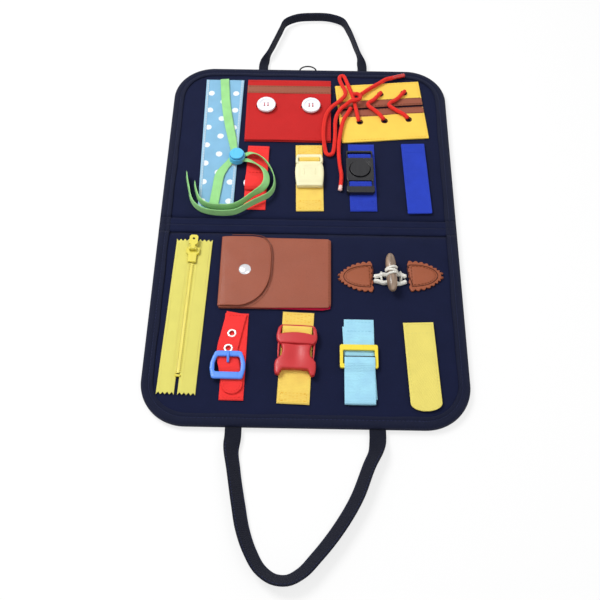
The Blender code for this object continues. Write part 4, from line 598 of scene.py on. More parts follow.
def moulded(node, look, body, width=0.0005, steps=3, shift=(0, 0, 0)):
    """The CAD node's own shape with rounded moulding edges"""
    mesh = NODES[node].data.copy()
    obj = bpy.data.objects.new(node + "_moulded", mesh)
    bpy.context.scene.collection.objects.link(obj)
    shape = bmesh.new()
    shape.from_mesh(mesh)
    bmesh.ops.remove_doubles(shape, verts=shape.verts, dist=0.00002)
    bmesh.ops.dissolve_limit(shape, angle_limit=0.03, verts=shape.verts, edges=shape.edges)
    bmesh.ops.translate(shape, verts=shape.verts, vec=shift)
    shape.to_mesh(mesh)
    shape.free()
    mesh.materials.clear()
    mesh.materials.append(LOOKS[look])
    if width:
        bevel = obj.modifiers.new("edges", "BEVEL")
        bevel.width = width
        bevel.segments = steps
        bevel.limit_method = "ANGLE"
        bevel.angle_limit = 0.6
        bevel.use_clamp_overlap = True
    mesh.shade_smooth()
    weighted = obj.modifiers.new("shading", "WEIGHTED_NORMAL")
    weighted.keep_sharp = True
    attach(obj, body)
    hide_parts(node)
    return obj


def turned(name, profile, place, look, body, nodes=(), steps=40, axis=UP):
    """A turned shape: radius and height pairs from the top down, about an axis at a place"""
    axis = Vector(axis).normalized()
    first = axis.orthogonal().normalized()
    other = axis.cross(first)
    points, faces = [], []
    for radius, height in profile:
        for step in range(steps):
            angle = 2 * math.pi * step / steps
            off = (first * math.cos(angle) + other * math.sin(angle)) * radius
            points.append(Vector(place) + off + axis * height)
    for ring in range(len(profile) - 1):
        for step in range(steps):
            a, b = ring * steps + step, ring * steps + (step + 1) % steps
            faces.append((a, a + steps, b + steps, b))
    if profile[0][0] > 0 and profile[0] != profile[-1]:
        faces.append(tuple(range(steps)))
        end = (len(profile) - 1) * steps
        faces.append(tuple(end + step for step in reversed(range(steps))))
    return new_mesh(name, points, faces, look, body, nodes)


def area_of(loop):
    return sum(a.x * b.y - b.x * a.y for a, b in zip(loop, loop[1:] + loop[:1])) / 2


def drawn_in(loop, amount):
    """The loop moved to its left by an amount, with sharp corners held back"""
    moved = []
    for before, place, after in zip(loop[-1:] + loop[:-1], loop, loop[1:] + loop[:1]):
        first, second = (place - before).normalized(), (after - place).normalized()
        way = Vector((-first.y - second.y, first.x + second.x))
        moved.append(place + way * (2 * amount / max(way.length, 0.9) ** 2))
    return moved


def refined(loop, longest):
    """The loop with its long sides cut into even steps"""
    read = []
    for place, after in zip(loop, loop[1:] + loop[:1]):
        count = max(1, math.ceil((after - place).length / longest))
        read += [place.lerp(after, step / count) for step in range(count)]
    return read


def side_distances(places, loops):
    """Whether each place is inside the loops, and how far it is from the nearest side"""
    inside = np.zeros(len(places), bool)
    nearest = np.full(len(places), 1e9)
    for loop in loops:
        corners = np.array(loop)
        for (ax, ay), (bx, by) in zip(corners, np.roll(corners, -1, axis=0)):
            x, y = places[:, 0], places[:, 1]
            crosses = (ay > y) != (by > y)
            at = ax + (y - ay) * (bx - ax) / (by - ay if by != ay else 1)
            inside ^= crosses & (x < at)
            length = (bx - ax) ** 2 + (by - ay) ** 2
            share = np.clip(((x - ax) * (bx - ax) + (y - ay) * (by - ay)) / max(length, 1e-18), 0, 1)
            nearest = np.minimum(nearest, np.hypot(x - ax - share * (bx - ax), y - ay - share * (by - ay)))
    return inside, nearest


EDGE_ARC = ((1.0, 0.0), (0.62, 0.08), (0.29, 0.29), (0.08, 0.62), (0.0, 1.0))


def cut_piece(name, spot, outline, low, high, look, body, nodes=(), holes=(), shape=None,
              pitch=0.0035, rounding=0.42, longest=0.004):
    """A flat piece cut to an outline in its spot's own directions, with holes and rounded edges.
    shape moves a point by its place across and along, and by its face."""
    radius = (high - low) * rounding
    loops = []
    for count, loop in enumerate([outline, *holes]):
        loop = refined([Vector(place) for place in loop], longest)
        if (area_of(loop) < 0) != (count > 0):
            loop.reverse()
        loops.append(loop)
    inner = [drawn_in(loop, radius) for loop in loops]
    flat_places = [place for loop in inner for place in loop]
    spans = np.array(flat_places)
    xs = np.arange(spans[:, 0].min() + pitch / 2, spans[:, 0].max(), pitch)
    ys = np.arange(spans[:, 1].min() + pitch / 2, spans[:, 1].max(), pitch)
    grid = np.array([(x, y) for x in xs for y in ys]).reshape(-1, 2)
    if len(grid):
        inside, nearest = side_distances(grid, inner)
        grid = grid[inside & (nearest > pitch * 0.45)]
    ties = []
    base = 0
    for loop in inner:
        ties += [(base + k, base + (k + 1) % len(loop)) for k in range(len(loop))]
        base += len(loop)
    given = flat_places + [Vector(place) for place in grid]
    found = delaunay_2d_cdt(given, ties, [], 0, 1e-7)
    source = [origin[0] if origin else -1 for origin in found[3]]
    triangles = [tuple(source[k] for k in face) for face in found[2]]
    triangles = [face for face in triangles if min(face) >= 0]
    middles = np.array([sum((np.array(given[k]) for k in face), np.zeros(2)) / 3 for face in triangles])
    inside, _ = side_distances(middles, inner)
    triangles = [face for face, keep in zip(triangles, inside) if keep]
    points, flat, faces = [], [], []

    def put(place, z, face):
        point = spot.at(place[0], place[1], z)
        points.append(point + shape(place[0], place[1], face) if shape else point)
        flat.append((place[0], place[1], face))

    for place in given:
        put(place, high, 1)
    for place in given:
        put(place, low, -1)
    size = len(given)
    for face in triangles:
        corners = [given[k] for k in face]
        face = face if area_of(list(corners)) > 0 else face[::-1]
        faces.append(face)
        faces.append(tuple(k + size for k in reversed(face)))
    steps = [(inset, high - drop * radius, 1) for inset, drop in EDGE_ARC[1:]]
    steps += [(inset, low + drop * radius, -1) for inset, drop in reversed(EDGE_ARC[1:])]
    base = 0
    for loop in loops:
        count = len(loop)
        ring = [base + k for k in range(count)]
        for inset, z, face in steps:
            start = len(points)
            for place in drawn_in(loop, inset * radius):
                put(place, z, face)
            following = [start + k for k in range(count)]
            faces += [(ring[k], following[k], following[(k + 1) % count], ring[(k + 1) % count])
                      for k in range(count)]
            ring = following
        last = [size + base + k for k in range(count)]
        faces += [(ring[k], last[k], last[(k + 1) % count], ring[(k + 1) % count]) for k in range(count)]
        base += count
    return new_mesh(name, points, faces, look, body, nodes, flat)


def rectangle(half_x, half_y, radius=0.0006, middle=(0, 0), steps=5):
    """A rectangle's outline with round corners"""
    corners = []
    for sx, sy, start in ((1, -1, -90), (1, 1, 0), (-1, 1, 90), (-1, -1, 180)):
        for step in range(steps + 1):
            angle = math.radians(start + 90 * step / steps)
            corners.append((middle[0] + sx * (half_x - radius) + radius * math.cos(angle),
                            middle[1] + sy * (half_y - radius) + radius * math.sin(angle)))
    return corners


def round_hole(radius, x, y, steps=24):
    return [(x + radius * math.cos(2 * math.pi * k / steps), y + radius * math.sin(2 * math.pi * k / steps))
            for k in range(steps)]


def waves(amount, length, seed):
    """A gentle unevenness for a cut piece's shape"""
    def shape(x, y, face):
        wave = math.sin(y / length * 2 * math.pi + seed) * math.cos(x / length * 3.1 + seed * 1.7)
        wave += 0.6 * math.sin(y / length * 4.7 + x / length * 2.9 + seed * 2.3)
        return UP * (amount * wave)
    return shape


def laid(piece):
    return piece


# Routes, close to those in the part. Handles: x, out from the board's edge, z, lean and share of the width
BOARD_EDGE = 0.1883
HANDLE_START = 0.1892
HANDLE_HEIGHT = 0.0036
LOWER_HANDLE_ROUTE = (
    (-0.0560, 0, HANDLE_HEIGHT, 0, 1),
    (-0.0560, 0.0066, HANDLE_HEIGHT, 4, 1),
    (-0.0566, 0.0171, 0.0056, 30, 1),
    (-0.0540, 0.0331, 0.0064, 40, 1),
    (-0.0485, 0.0621, 0.0064, 40, 1),
    (-0.0450, 0.0781, 0.0064, 40, 1),
    (-0.0385, 0.0951, 0.0065, 42, 1),
    (-0.0305, 0.1076, 0.0066, 44, 1),
    (-0.0205, 0.1141, 0.0068, 46, 1),
    (-0.0105, 0.1146, 0.0068, 46, 1),
    (-0.0010, 0.1096, 0.0066, 44, 1),
    (0.0100, 0.0981, 0.0065, 42, 1),
    (0.0250, 0.0791, 0.0064, 40, 1),
    (0.0397, 0.0546, 0.0064, 40, 1),
    (0.0500, 0.0286, 0.0064, 40, 1),
    (0.0556, 0.0161, 0.0056, 30, 1),
    (0.0570, 0.0066, HANDLE_HEIGHT, 4, 1),
    (0.0570, 0, HANDLE_HEIGHT, 0, 1),
)
UPPER_HANDLE_ROUTE = (
    (0.0520, 0, HANDLE_HEIGHT, 0, 1),
    (0.0520, 0.0061, 0.0038, 4, 1),
    (0.0495, 0.0171, 0.0070, 42, 1),
    (0.0450, 0.0331, 0.0086, 70, 1),
    (0.0385, 0.0541, 0.0088, 75, 1),
    (0.0330, 0.0656, 0.0088, 75, 1),
    (0.0220, 0.0711, 0.0088, 75, 1),
    (0.0020, 0.0726, 0.0088, 75, 1),
    (-0.0170, 0.0696, 0.0088, 75, 1),
    (-0.0262, 0.0636, 0.0088, 75, 1),
    (-0.0310, 0.0511, 0.0088, 75, 1),
    (-0.0368, 0.0341, 0.0086, 70, 1),
    (-0.0430, 0.0171, 0.0070, 42, 1),
    (-0.0468, 0.0061, 0.0038, 4, 1),
    (-0.0468, 0, HANDLE_HEIGHT, 0, 1),
)

# Closing loop: x and out from the edge
CLOSING_LOOP_ROUTE = (
    (-0.0103, 0),
    (-0.0101, 0.0029),
    (-0.0068, 0.0062),
    (-0.0023, 0.0072),
    (0.0022, 0.0062),
    (0.0055, 0.0029),
    (0.0057, 0),
)

# Drawstring: x, y, z, lean and share of the width
DRAWSTRING_RUN_ROUTE = (
    (-0.0842, 0.1715, 0.00865, 0, 1),
    (-0.0810, 0.1400, 0.00865, 0, 1),
    (-0.0757, 0.1100, 0.00865, 0, 1),
    (-0.0718, 0.0920, 0.00865, 0, 0.90),
    (-0.0702, 0.0810, 0.00865, 0, 0.72),
    (-0.0708, 0.0750, 0.00865, 0, 0.70),
    (-0.0730, 0.0695, 0.00865, 0, 0.70),
    (-0.0765, 0.0640, 0.00865, 0, 0.80),
    (-0.0812, 0.0550, 0.00865, 0, 1),
    (-0.0832, 0.0400, 0.00865, 0, 1),
    (-0.0842, 0.0300, 0.00865, 0, 1),
    (-0.0850, 0.0208, 0.00865, 0, 1),
)
DRAWSTRING_END_A_ROUTE = (
    (-0.0638, 0.07515, 0.0112, 0, 0.56),
    (-0.0592, 0.0754, 0.0112, 0, 0.56),
    (-0.0545, 0.0768, 0.0121, 20, 0.85),
    (-0.0492, 0.0760, 0.0123, 33, 1),
    (-0.0435, 0.0715, 0.0128, 42, 1),
    (-0.0386, 0.0652, 0.0131, 52, 1),
    (-0.0340, 0.0575, 0.0124, 60, 1),
    (-0.0314, 0.0505, 0.0110, 64, 1),
    (-0.0309, 0.0420, 0.0106, 65, 1),
    (-0.0326, 0.0350, 0.0112, 65, 1),
    (-0.0364, 0.0290, 0.0122, 64, 1),
    (-0.0420, 0.0252, 0.0124, 64, 1),
    (-0.0475, 0.0218, 0.0124, 64, 1),
    (-0.0535, 0.0178, 0.0124, 64, 1),
    (-0.0596, 0.0136, 0.0118, 64, 1),
    (-0.0655, 0.0112, 0.0109, 65, 1),
    (-0.0716, 0.0102, 0.0106, 65, 1),
    (-0.0780, 0.0100, 0.0106, 65, 1),
    (-0.0843, 0.0104, 0.0106, 65, 1),
    (-0.0905, 0.0116, 0.0106, 65, 1),
    (-0.0968, 0.0142, 0.0106, 65, 1),
    (-0.1020, 0.0186, 0.0106, 65, 1),
    (-0.1055, 0.0248, 0.0106, 65, 1),
    (-0.1082, 0.0353, 0.0106, 65, 1),
    (-0.1102, 0.0440, 0.0105, 63, 1),
    (-0.1120, 0.0533, 0.0104, 60, 1),
)
DRAWSTRING_END_B_ROUTE = (
    (-0.0638, 0.06965, 0.0112, 0, 0.56),
    (-0.0592, 0.0694, 0.0112, 0, 0.56),
    (-0.0545, 0.0676, 0.0121, 20, 0.85),
    (-0.0490, 0.0645, 0.0124, 32, 1),
    (-0.0440, 0.0605, 0.0131, 32, 1),
    (-0.0405, 0.0555, 0.0142, 27, 1),
    (-0.0384, 0.0490, 0.0145, 25, 1),
    (-0.0386, 0.0415, 0.0145, 25, 1),
    (-0.0422, 0.0350, 0.0142, 36, 1),
    (-0.0490, 0.0305, 0.0130, 52, 1),
    (-0.0552, 0.0248, 0.0126, 60, 1),
    (-0.0614, 0.0194, 0.0126, 64, 1),
    (-0.0664, 0.0165, 0.0126, 65, 1),
    (-0.0715, 0.0154, 0.0126, 65, 1),
    (-0.0780, 0.0152, 0.0126, 65, 1),
    (-0.0845, 0.0156, 0.0126, 65, 1),
    (-0.0898, 0.0169, 0.0126, 65, 1),
    (-0.0944, 0.0195, 0.0126, 65, 1),
    (-0.0980, 0.0234, 0.0126, 65, 1),
    (-0.1003, 0.0288, 0.0126, 65, 1),
    (-0.1022, 0.0352, 0.0126, 65, 1),
    (-0.1035, 0.0412, 0.0126, 63, 1),
)

# Lace and toggle cords: x, y, z
LACE_CROSS_RIGHT_ROUTE = (
    (0.0927, 0.1584, 0.0097),
    (0.0898, 0.1540, 0.0106),
    (0.0862, 0.1493, 0.0103),
    (0.0815, 0.1448, 0.0106),
    (0.0778, 0.1424, 0.0107),
    (0.0766, 0.1396, 0.0107),
    (0.0787, 0.1367, 0.0107),
    (0.0832, 0.1332, 0.0105),
    (0.0904, 0.1280, 0.0106),
    (0.0942, 0.1245, 0.0097),
)
LACE_CROSS_MIDDLE_ROUTE = (
    (0.0694, 0.1562, 0.0097),
    (0.0668, 0.1520, 0.0106),
    (0.0640, 0.1486, 0.0103),
    (0.0608, 0.1448, 0.0106),
    (0.0574, 0.1423, 0.0107),
    (0.0562, 0.1395, 0.0107),
    (0.0582, 0.1366, 0.0107),
    (0.0622, 0.1330, 0.0105),
    (0.0676, 0.1268, 0.0106),
    (0.0711, 0.1223, 0.0097),
)
LACE_BOW_ROUTE = (
    (0.0472, 0.1201, 0.0097),
    (0.0460, 0.1250, 0.0106),
    (0.0448, 0.1320, 0.0107),
    (0.0437, 0.1390, 0.0107),
    (0.0426, 0.1460, 0.0108),
    (0.0404, 0.1540, 0.0106),
    (0.0377, 0.1630, 0.0104),
    (0.0355, 0.1705, 0.0099),
    (0.0344, 0.1741, 0.0096),
    (0.0335, 0.1763, 0.0095),
    (0.0316, 0.1774, 0.0094),
    (0.0297, 0.1763, 0.0094),
    (0.0290, 0.1741, 0.0096),
    (0.0295, 0.1705, 0.0098),
    (0.0315, 0.1640, 0.0104),
    (0.0340, 0.1575, 0.0107),
    (0.0345, 0.1515, 0.0110),
    (0.0310, 0.1455, 0.0113),
    (0.0262, 0.1402, 0.0114),
    (0.0205, 0.1340, 0.0116),
    (0.0163, 0.1258, 0.0115),
    (0.0140, 0.1140, 0.0113),
    (0.0133, 0.1015, 0.0112),
    (0.0139, 0.0925, 0.0104),
    (0.0151, 0.0850, 0.0089),
    (0.0158, 0.0816, 0.0085),
    (0.0171, 0.0797, 0.0084),
    (0.0190, 0.0790, 0.0084),
    (0.0209, 0.0797, 0.0084),
    (0.0222, 0.0815, 0.0084),
    (0.0230, 0.0850, 0.0084),
    (0.0236, 0.0900, 0.0085),
    (0.0243, 0.0980, 0.0086),
    (0.0246, 0.1080, 0.0087),
    (0.0247, 0.1180, 0.0097),
    (0.0262, 0.1262, 0.0098),
    (0.0300, 0.1336, 0.0107),
    (0.0352, 0.1382, 0.0116),
    (0.0396, 0.1408, 0.0140),
    (0.0436, 0.1413, 0.0148),
    (0.0478, 0.1430, 0.0144),
    (0.0488, 0.1468, 0.0142),
    (0.0460, 0.1494, 0.0145),
    (0.0424, 0.1488, 0.0148),
)
LACE_END_LEFT_ROUTE = (
    (0.0396, 0.1348, 0.0106),
    (0.0366, 0.1285, 0.0105),
    (0.0330, 0.1210, 0.0105),
    (0.0307, 0.1120, 0.0104),
    (0.0293, 0.1030, 0.0103),
    (0.0283, 0.0955, 0.0098),
    (0.0278, 0.0870, 0.0088),
    (0.0280, 0.0780, 0.0084),
    (0.0289, 0.0660, 0.0084),
    (0.0302, 0.0550, 0.0084),
    (0.0296, 0.0460, 0.0084),
    (0.0288, 0.0388, 0.0084),
)
LACE_END_RIGHT_ROUTE = (
    (0.0500, 0.1522, 0.0112),
    (0.0555, 0.1578, 0.0106),
    (0.0623, 0.1634, 0.0104),
    (0.0690, 0.1684, 0.0104),
    (0.0748, 0.1727, 0.0106),
    (0.0810, 0.1756, 0.0095),
    (0.0870, 0.1777, 0.0094),
    (0.0932, 0.1793, 0.0095),
)
TOGGLE_CORD_LEFT_ROUTE = (
    (0.0577, -0.0515, 0.0081),
    (0.0610, -0.0510, 0.0081),
    (0.0655, -0.0495, 0.0081),
    (0.0690, -0.0503, 0.0081),
    (0.0706, -0.0535, 0.0081),
    (0.0690, -0.0568, 0.0081),
    (0.0655, -0.0577, 0.0081),
    (0.0610, -0.0563, 0.0081),
    (0.0577, -0.0559, 0.0081),
)
TOGGLE_CORD_RIGHT_ROUTE = (
    (0.0845, -0.0512, 0.0081),
    (0.0805, -0.0496, 0.0081),
    (0.0772, -0.0490, 0.0081),
    (0.0748, -0.0508, 0.0081),
    (0.0742, -0.0538, 0.0081),
    (0.0750, -0.0567, 0.0081),
    (0.0775, -0.0584, 0.0081),
    (0.0808, -0.0577, 0.0081),
    (0.0845, -0.0562, 0.0081),
)

# Case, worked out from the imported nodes
UPPER_CASE = Spot("upper_binding")
HALF_WIDTH = UPPER_CASE.half_x
BOARD_TOP = UPPER_CASE.high
FACE_TOP = Spot("upper_cover").high
COVER_LOW = Spot("upper_cover").low
CORNER_RADIUS = 0.038
PANEL_NEAR = 0.0073
TAPE_LIP = 0.0100
COVER_INSET = 0.0012
HANDLE_WIDTH = 0.016
HANDLE_THICK = 0.0018
HANDLE_SHARES = {"lower": 0.82, "upper": 0.58}
DRAW_WIDTH = 0.0085
DRAW_THICK = 0.0009
LACE_RADIUS = 0.0019
TIP_GROWTH = 1.03
MORE_LEAN = 1.6
END_SHARE = 0.82
SNAP_SHIFT = 0.0015
TOGGLE_CORD_RADIUS = 0.0015
LOOP_RADIUS = 0.0007


def make_camera():
    pitch, yaw, roll = (math.radians(angle) for angle in (CAMERA_PITCH, CAMERA_YAW, CAMERA_ROLL))
    ahead = Vector((math.sin(yaw) * math.cos(pitch), math.cos(yaw) * math.cos(pitch), -math.sin(pitch)))
    right = Vector((math.cos(yaw), -math.sin(yaw), 0))
    above = right.cross(ahead)
    across = right * math.cos(roll) + above * math.sin(roll)
    upward = above * math.cos(roll) - right * math.sin(roll)
    data = bpy.data.cameras.new("camera")
    data.sensor_width = SENSOR
    data.lens = FOCAL_SHARE * SENSOR
    camera = bpy.data.objects.new("camera", data)
    bpy.context.scene.collection.objects.link(camera)
    turn = Matrix((across, upward, -ahead)).transposed().to_4x4()
    camera.matrix_world = Matrix.Translation(CAMERA_PLACE) @ turn
    bpy.context.scene.camera = camera


def white_for_camera(tree, plain, strength):
    """The plain shader for the light, and a white one for camera, mirror and glass rays"""
    rays = tree.nodes.new("ShaderNodeLightPath")
    glow = tree.nodes.new("ShaderNodeEmission" if strength else "ShaderNodeBackground")
    either = tree.nodes.new("ShaderNodeMath")
    either.operation = "MAXIMUM"
    third = tree.nodes.new("ShaderNodeMath")
    third.operation = "MAXIMUM"
    tree.links.new(rays.outputs["Is Camera Ray"], either.inputs[0])
    tree.links.new(rays.outputs["Is Glossy Ray"], either.inputs[1])
    tree.links.new(either.outputs[0], third.inputs[0])
    tree.links.new(rays.outputs["Is Transmission Ray"], third.inputs[1])
    mix = tree.nodes.new("ShaderNodeMixShader")
    share = third.outputs[0]
    if strength:
        fade = tree.nodes.new("ShaderNodeMath")
        fade.operation = "MULTIPLY"
        fade.inputs[1].default_value = strength
        tree.links.new(share, fade.inputs[0])
        share = fade.outputs[0]
    tree.links.new(share, mix.inputs[0])
    tree.links.new(plain, mix.inputs[1])
    tree.links.new(glow.outputs[0], mix.inputs[2])
    return mix.outputs[0]


def make_world():
    world = bpy.data.worlds.new("studio")
    bpy.context.scene.world = world
    world.use_nodes = True
    tree = world.node_tree
    tree.nodes["Background"].inputs["Color"].default_value = (1, 1, 1, 1)
    tree.nodes["Background"].inputs["Strength"].default_value = SKY_STRENGTH
    shown = white_for_camera(tree, tree.nodes["Background"].outputs[0], 0)
    tree.links.new(shown, tree.nodes["World Output"].inputs["Surface"])
    tree.nodes["Background.001"].inputs["Color"].default_value = (1, 1, 1, 1)


def make_floor():
    """A pale floor a hair below the board, brightened for the camera so that it keeps only the shadow"""
    size = 6.0
    corners = [(-size, -size, -0.0004), (size, -size, -0.0004), (size, size, -0.0004), (-size, size, -0.0004)]
    mesh = bpy.data.meshes.new("floor")
    mesh.from_pydata(corners, [], [(0, 1, 2, 3)])
    look = bpy.data.materials.new("pale_floor")
    look.use_nodes = True
    tree = look.node_tree
    shader = tree.nodes["Principled BSDF"]
    shader.inputs["Base Color"].default_value = (0.9, 0.9, 0.9, 1)
    shader.inputs["Roughness"].default_value = 0.9
    shown = white_for_camera(tree, shader.outputs[0], 0.72)
    tree.links.new(shown, tree.nodes["Material Output"].inputs["Surface"])
    mesh.materials.append(look)
    floor = bpy.data.objects.new("floor", mesh)
    bpy.context.scene.collection.objects.link(floor)


def make_lamp(name, place, power, size):
    data = bpy.data.lights.new(name, "AREA")
    data.energy = power
    data.size = size
    lamp = bpy.data.objects.new(name, data)
    bpy.context.scene.collection.objects.link(lamp)
    lamp.location = place
    lamp.rotation_mode = "QUATERNION"
    lamp.rotation_quaternion = (-Vector(place)).to_track_quat("-Z", "Y")


def ribbon_stations(route, width, spacing):
    rows = smooth_route(route, spacing)
    ways = np.gradient(rows[:, :3], axis=0)
    stations = []
    for row, way in zip(rows, ways):
        ahead = Vector(way).normalized()
        across = ahead.cross(UP).normalized()
        above = across.cross(ahead)
        lean = math.radians(row[3])
        side = across * math.cos(lean) + above * math.sin(lean)
        stations.append((Vector(row[:3]), side * (width * row[4] / 2)))
    return stations


def make_drawstring():
    """The tape's run through the lock and its two loose ends"""
    ends = {"drawstring_run": DRAWSTRING_RUN_ROUTE, "drawstring_end_a": DRAWSTRING_END_A_ROUTE,
            "drawstring_end_b": DRAWSTRING_END_B_ROUTE}
    for name, route in ends.items():
        loose = name != "drawstring_run"
        if loose:
            route = [(x, y, z, min(80.0, lean * MORE_LEAN), share * END_SHARE) for x, y, z, lean,
                     share in route]
        stations = ribbon_stations(route, DRAW_WIDTH, 0.0018)
        tape = band("green_" + name, stations, DRAW_THICK, "green", "upper_panel", [name], 8)


def make_lace():
    """The lace's crossings, bow and two ends, with their tips"""
    stretches = {"lace_cross_middle": LACE_CROSS_MIDDLE_ROUTE, "lace_cross_right": LACE_CROSS_RIGHT_ROUTE,
                 "lace_bow": LACE_BOW_ROUTE, "lace_end_left": LACE_END_LEFT_ROUTE,
                 "lace_end_right": LACE_END_RIGHT_ROUTE}
    for name, route in stretches.items():
        path = smooth_route(route, 0.0015)
        cord = tube("red_" + name, path, LACE_RADIUS, "lace", "upper_panel", [name])
        if "cross" in name:
            continue
        if "end" in name:
            count = 4 if name == "lace_end_left" else 9
            look = "lace_tip" if name == "lace_end_left" else "lace_tip_red"
            tube(name + "_tip", path[-count:], LACE_RADIUS * TIP_GROWTH, look, "upper_panel")


def panel_half(distance, inset):
    """Half the panel's width at a distance from the spine's middle, with round outer corners"""
    half = HALF_WIDTH - inset
    past = distance - (BOARD_EDGE - CORNER_RADIUS)
    radius = CORNER_RADIUS - inset
    if past <= 0:
        return half
    return half - radius + math.sqrt(max(0.0, radius ** 2 - min(past, radius) ** 2))


def pad_shape(seed):
    """The cover's slack: low swells and soft puckers beside the seams, none of it above the seat"""
    def shape(share, along, face, total):
        x = share * HALF_WIDTH
        swell = math.sin(x * 31 + seed) * math.sin(along * 27 + seed * 2.0)
        pucker = math.sin(x * 190 + seed) * math.exp(-along / 0.010)
        pucker += math.sin(along * 170 + seed) * math.exp(-(1 - abs(share)) * HALF_WIDTH / 0.016)
        return UP * (face * (0.00018 * swell + 0.00014 * pucker - 0.0001))
    return shape


def make_cover(word, side):
    stations = []
    near = PANEL_NEAR + 0.0002
    far = BOARD_EDGE - COVER_INSET
    count = 60
    for step in range(count + 1):
        share = step / count
        distance = near + (far - near) * (1 - (1 - share) ** 1.6)
        half = panel_half(distance, COVER_INSET)
        stations.append((Vector((0, side * distance, (FACE_TOP + COVER_LOW) / 2)),
                         Vector((side * half, 0, 0))))
    cover = band(word + "_padded_cover", stations, FACE_TOP - COVER_LOW, "navy", word + "_panel",
                 [word + "_cover", word + "_stiffener"], 44, pad_shape(side * 1.3))


def edge_path(side):
    """Places and outward ways round a panel's open outline, from one end of the spine to the other"""
    places = []
    straight = BOARD_EDGE - CORNER_RADIUS
    for step in range(50):
        places.append(((HALF_WIDTH, side * (PANEL_NEAR + (straight - PANEL_NEAR) * step / 50)), (1, 0)))
    for step in range(25):
        angle = math.radians(90 * step / 25)
        way = (math.cos(angle), side * math.sin(angle))
        centre = (HALF_WIDTH - CORNER_RADIUS, side * straight)
        places.append(((centre[0] + way[0] * CORNER_RADIUS, centre[1] + way[1] * CORNER_RADIUS), way))
    inner = HALF_WIDTH - CORNER_RADIUS
    places += [((inner - 2 * inner * step / 60, side * BOARD_EDGE), (0, side)) for step in range(61)]
    right = places[:75]
    places += [((-x, y), (-a, b)) for (x, y), (a, b) in reversed(right)]
    return places


TAPE_SECTION = (
    (10.0, 6.10), (9.9, 6.50), (9.5, 6.85), (8.7, 7.00), (7.6, 6.92), (6.9, 6.62), (6.4, 6.45), (5.9, 6.62),
                (5.2, 6.95),
    (4.2, 7.16), (3.0, 7.10), (1.7, 6.75), (0.6, 5.95), (0.1, 4.9), (0.0, 3.6), (0.1, 2.2), (0.6, 1.1),
                (1.7, 0.35),
    (3.0, 0.05), (5.0, 0.0), (6.4, 0.25), (7.6, 0.1), (9.0, 0.1), (9.6, 0.25), (9.9, 0.55), (10.0, 0.85),
    (8.0, 0.95), (2.0, 1.0), (1.2, 1.5), (0.95, 3.6), (1.2, 5.4), (2.0, 5.9), (8.0, 6.0),
)
MILLIMETRE = 0.001


def edge_tape(name, places, body, nodes=(), seed=0.0):
    """Binding tape folded over the board's edge, its inner side sewn down in a groove"""
    points, flat, faces = [], [], []
    along = 0.0
    size = len(TAPE_SECTION)
    for count, ((x, y), (a, b)) in enumerate(places):
        if count:
            along += math.dist(places[count][0], places[count - 1][0])
        wobble = 0.0002 * math.sin(along * 130 + seed) + 0.00015 * math.sin(along * 57 + seed * 3)
        for k, (inset, height) in enumerate(TAPE_SECTION):
            deep = inset * MILLIMETRE
            edge = wobble * min(1.0, deep / TAPE_LIP)
            points.append((x - a * (deep + edge), y - b * (deep + edge), height * MILLIMETRE))
            flat.append((deep, along, 1 if k < size / 2 else -1))
    for count in range(len(places) - 1):
        for k in range(size):
            c, d = count * size + k, count * size + (k + 1) % size
            faces.append((c, d, d + size, c + size))
    last = (len(places) - 1) * size
    faces += [tuple(reversed(range(size))), tuple(last + k for k in range(size))]
    return new_mesh(name, points, faces, "binding", body, nodes, flat)


def make_bindings():
    for word, side in (("lower", -1), ("upper", 1)):
        places = edge_path(side)
        edge_tape(word + "_edge_tape", places, word + "_panel", [word + "_binding"], side * 0.9)
        line = []
        for (x, y), (a, b) in places[::2]:
            inset = 0.0064
            line.append((x - a * inset, y - b * inset, BOARD_TOP - 0.00072))
        stitches(word + "_edge_stitches", [line], "navy_thread", word + "_panel")


def make_spine():
    """Two halves of the spine cloth, one on each panel's side, with a crease at each fold"""
    for word, side in (("lower", -1), ("upper", 1)):
        stations = []
        rows = ((0.0, 3.55, 5.9), (1.5, 3.5, 5.8), (3.0, 3.5, 5.8), (4.5, 3.5, 5.9), (5.6, 3.5, 5.9),
                (6.3, 3.45, 5.5), (6.9, 3.4, 4.9), (7.25, 3.4, 4.6))
        for y, z, thick in rows:
            stations.append((y, z, thick))
        points, flat, faces = [], [], []
        cells = 60
        ring = 2 * (cells + 1)
        for y, z, thick in stations:
            for face in (1, -1):
                for cell in range(cells + 1):
                    share = face * (2 * cell / cells - 1)
                    x = share * (HALF_WIDTH - 0.0012)
                    pucker = 0.00012 * math.sin(x * 260 + side) * (y / 7.25)
                    points.append((side * x, side * y * MILLIMETRE,
                                   (z + face * thick / 2) * MILLIMETRE + pucker))
                    flat.append((x, y * MILLIMETRE, face))
        for count in range(len(stations) - 1):
            for k in range(ring):
                a, b = count * ring + k, count * ring + (k + 1) % ring
                faces.append((a, b, b + ring, a + ring))
        end = (len(stations) - 1) * ring
        for cell in range(cells):
            faces.append((cell + 1, cell, ring - 1 - cell, ring - 2 - cell))
            faces.append((end + cell, end + cell + 1, end + ring - 2 - cell, end + ring - 1 - cell))
        cloth = new_mesh("spine_cloth_" + word, points, faces, "navy", None, ["spine_cover"], flat)
        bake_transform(cloth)
        for label, end_side in (("left", -1), ("right", 1)):
            steps = 8
            places = [((end_side * HALF_WIDTH, side * PANEL_NEAR * step / steps), (end_side, 0))
                      for step in range(steps + 1)]
            if side * end_side < 0:
                places.reverse()
            tape = edge_tape("spine_tape_" + word + "_" + label, places, None, (), 2.0)
            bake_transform(tape)


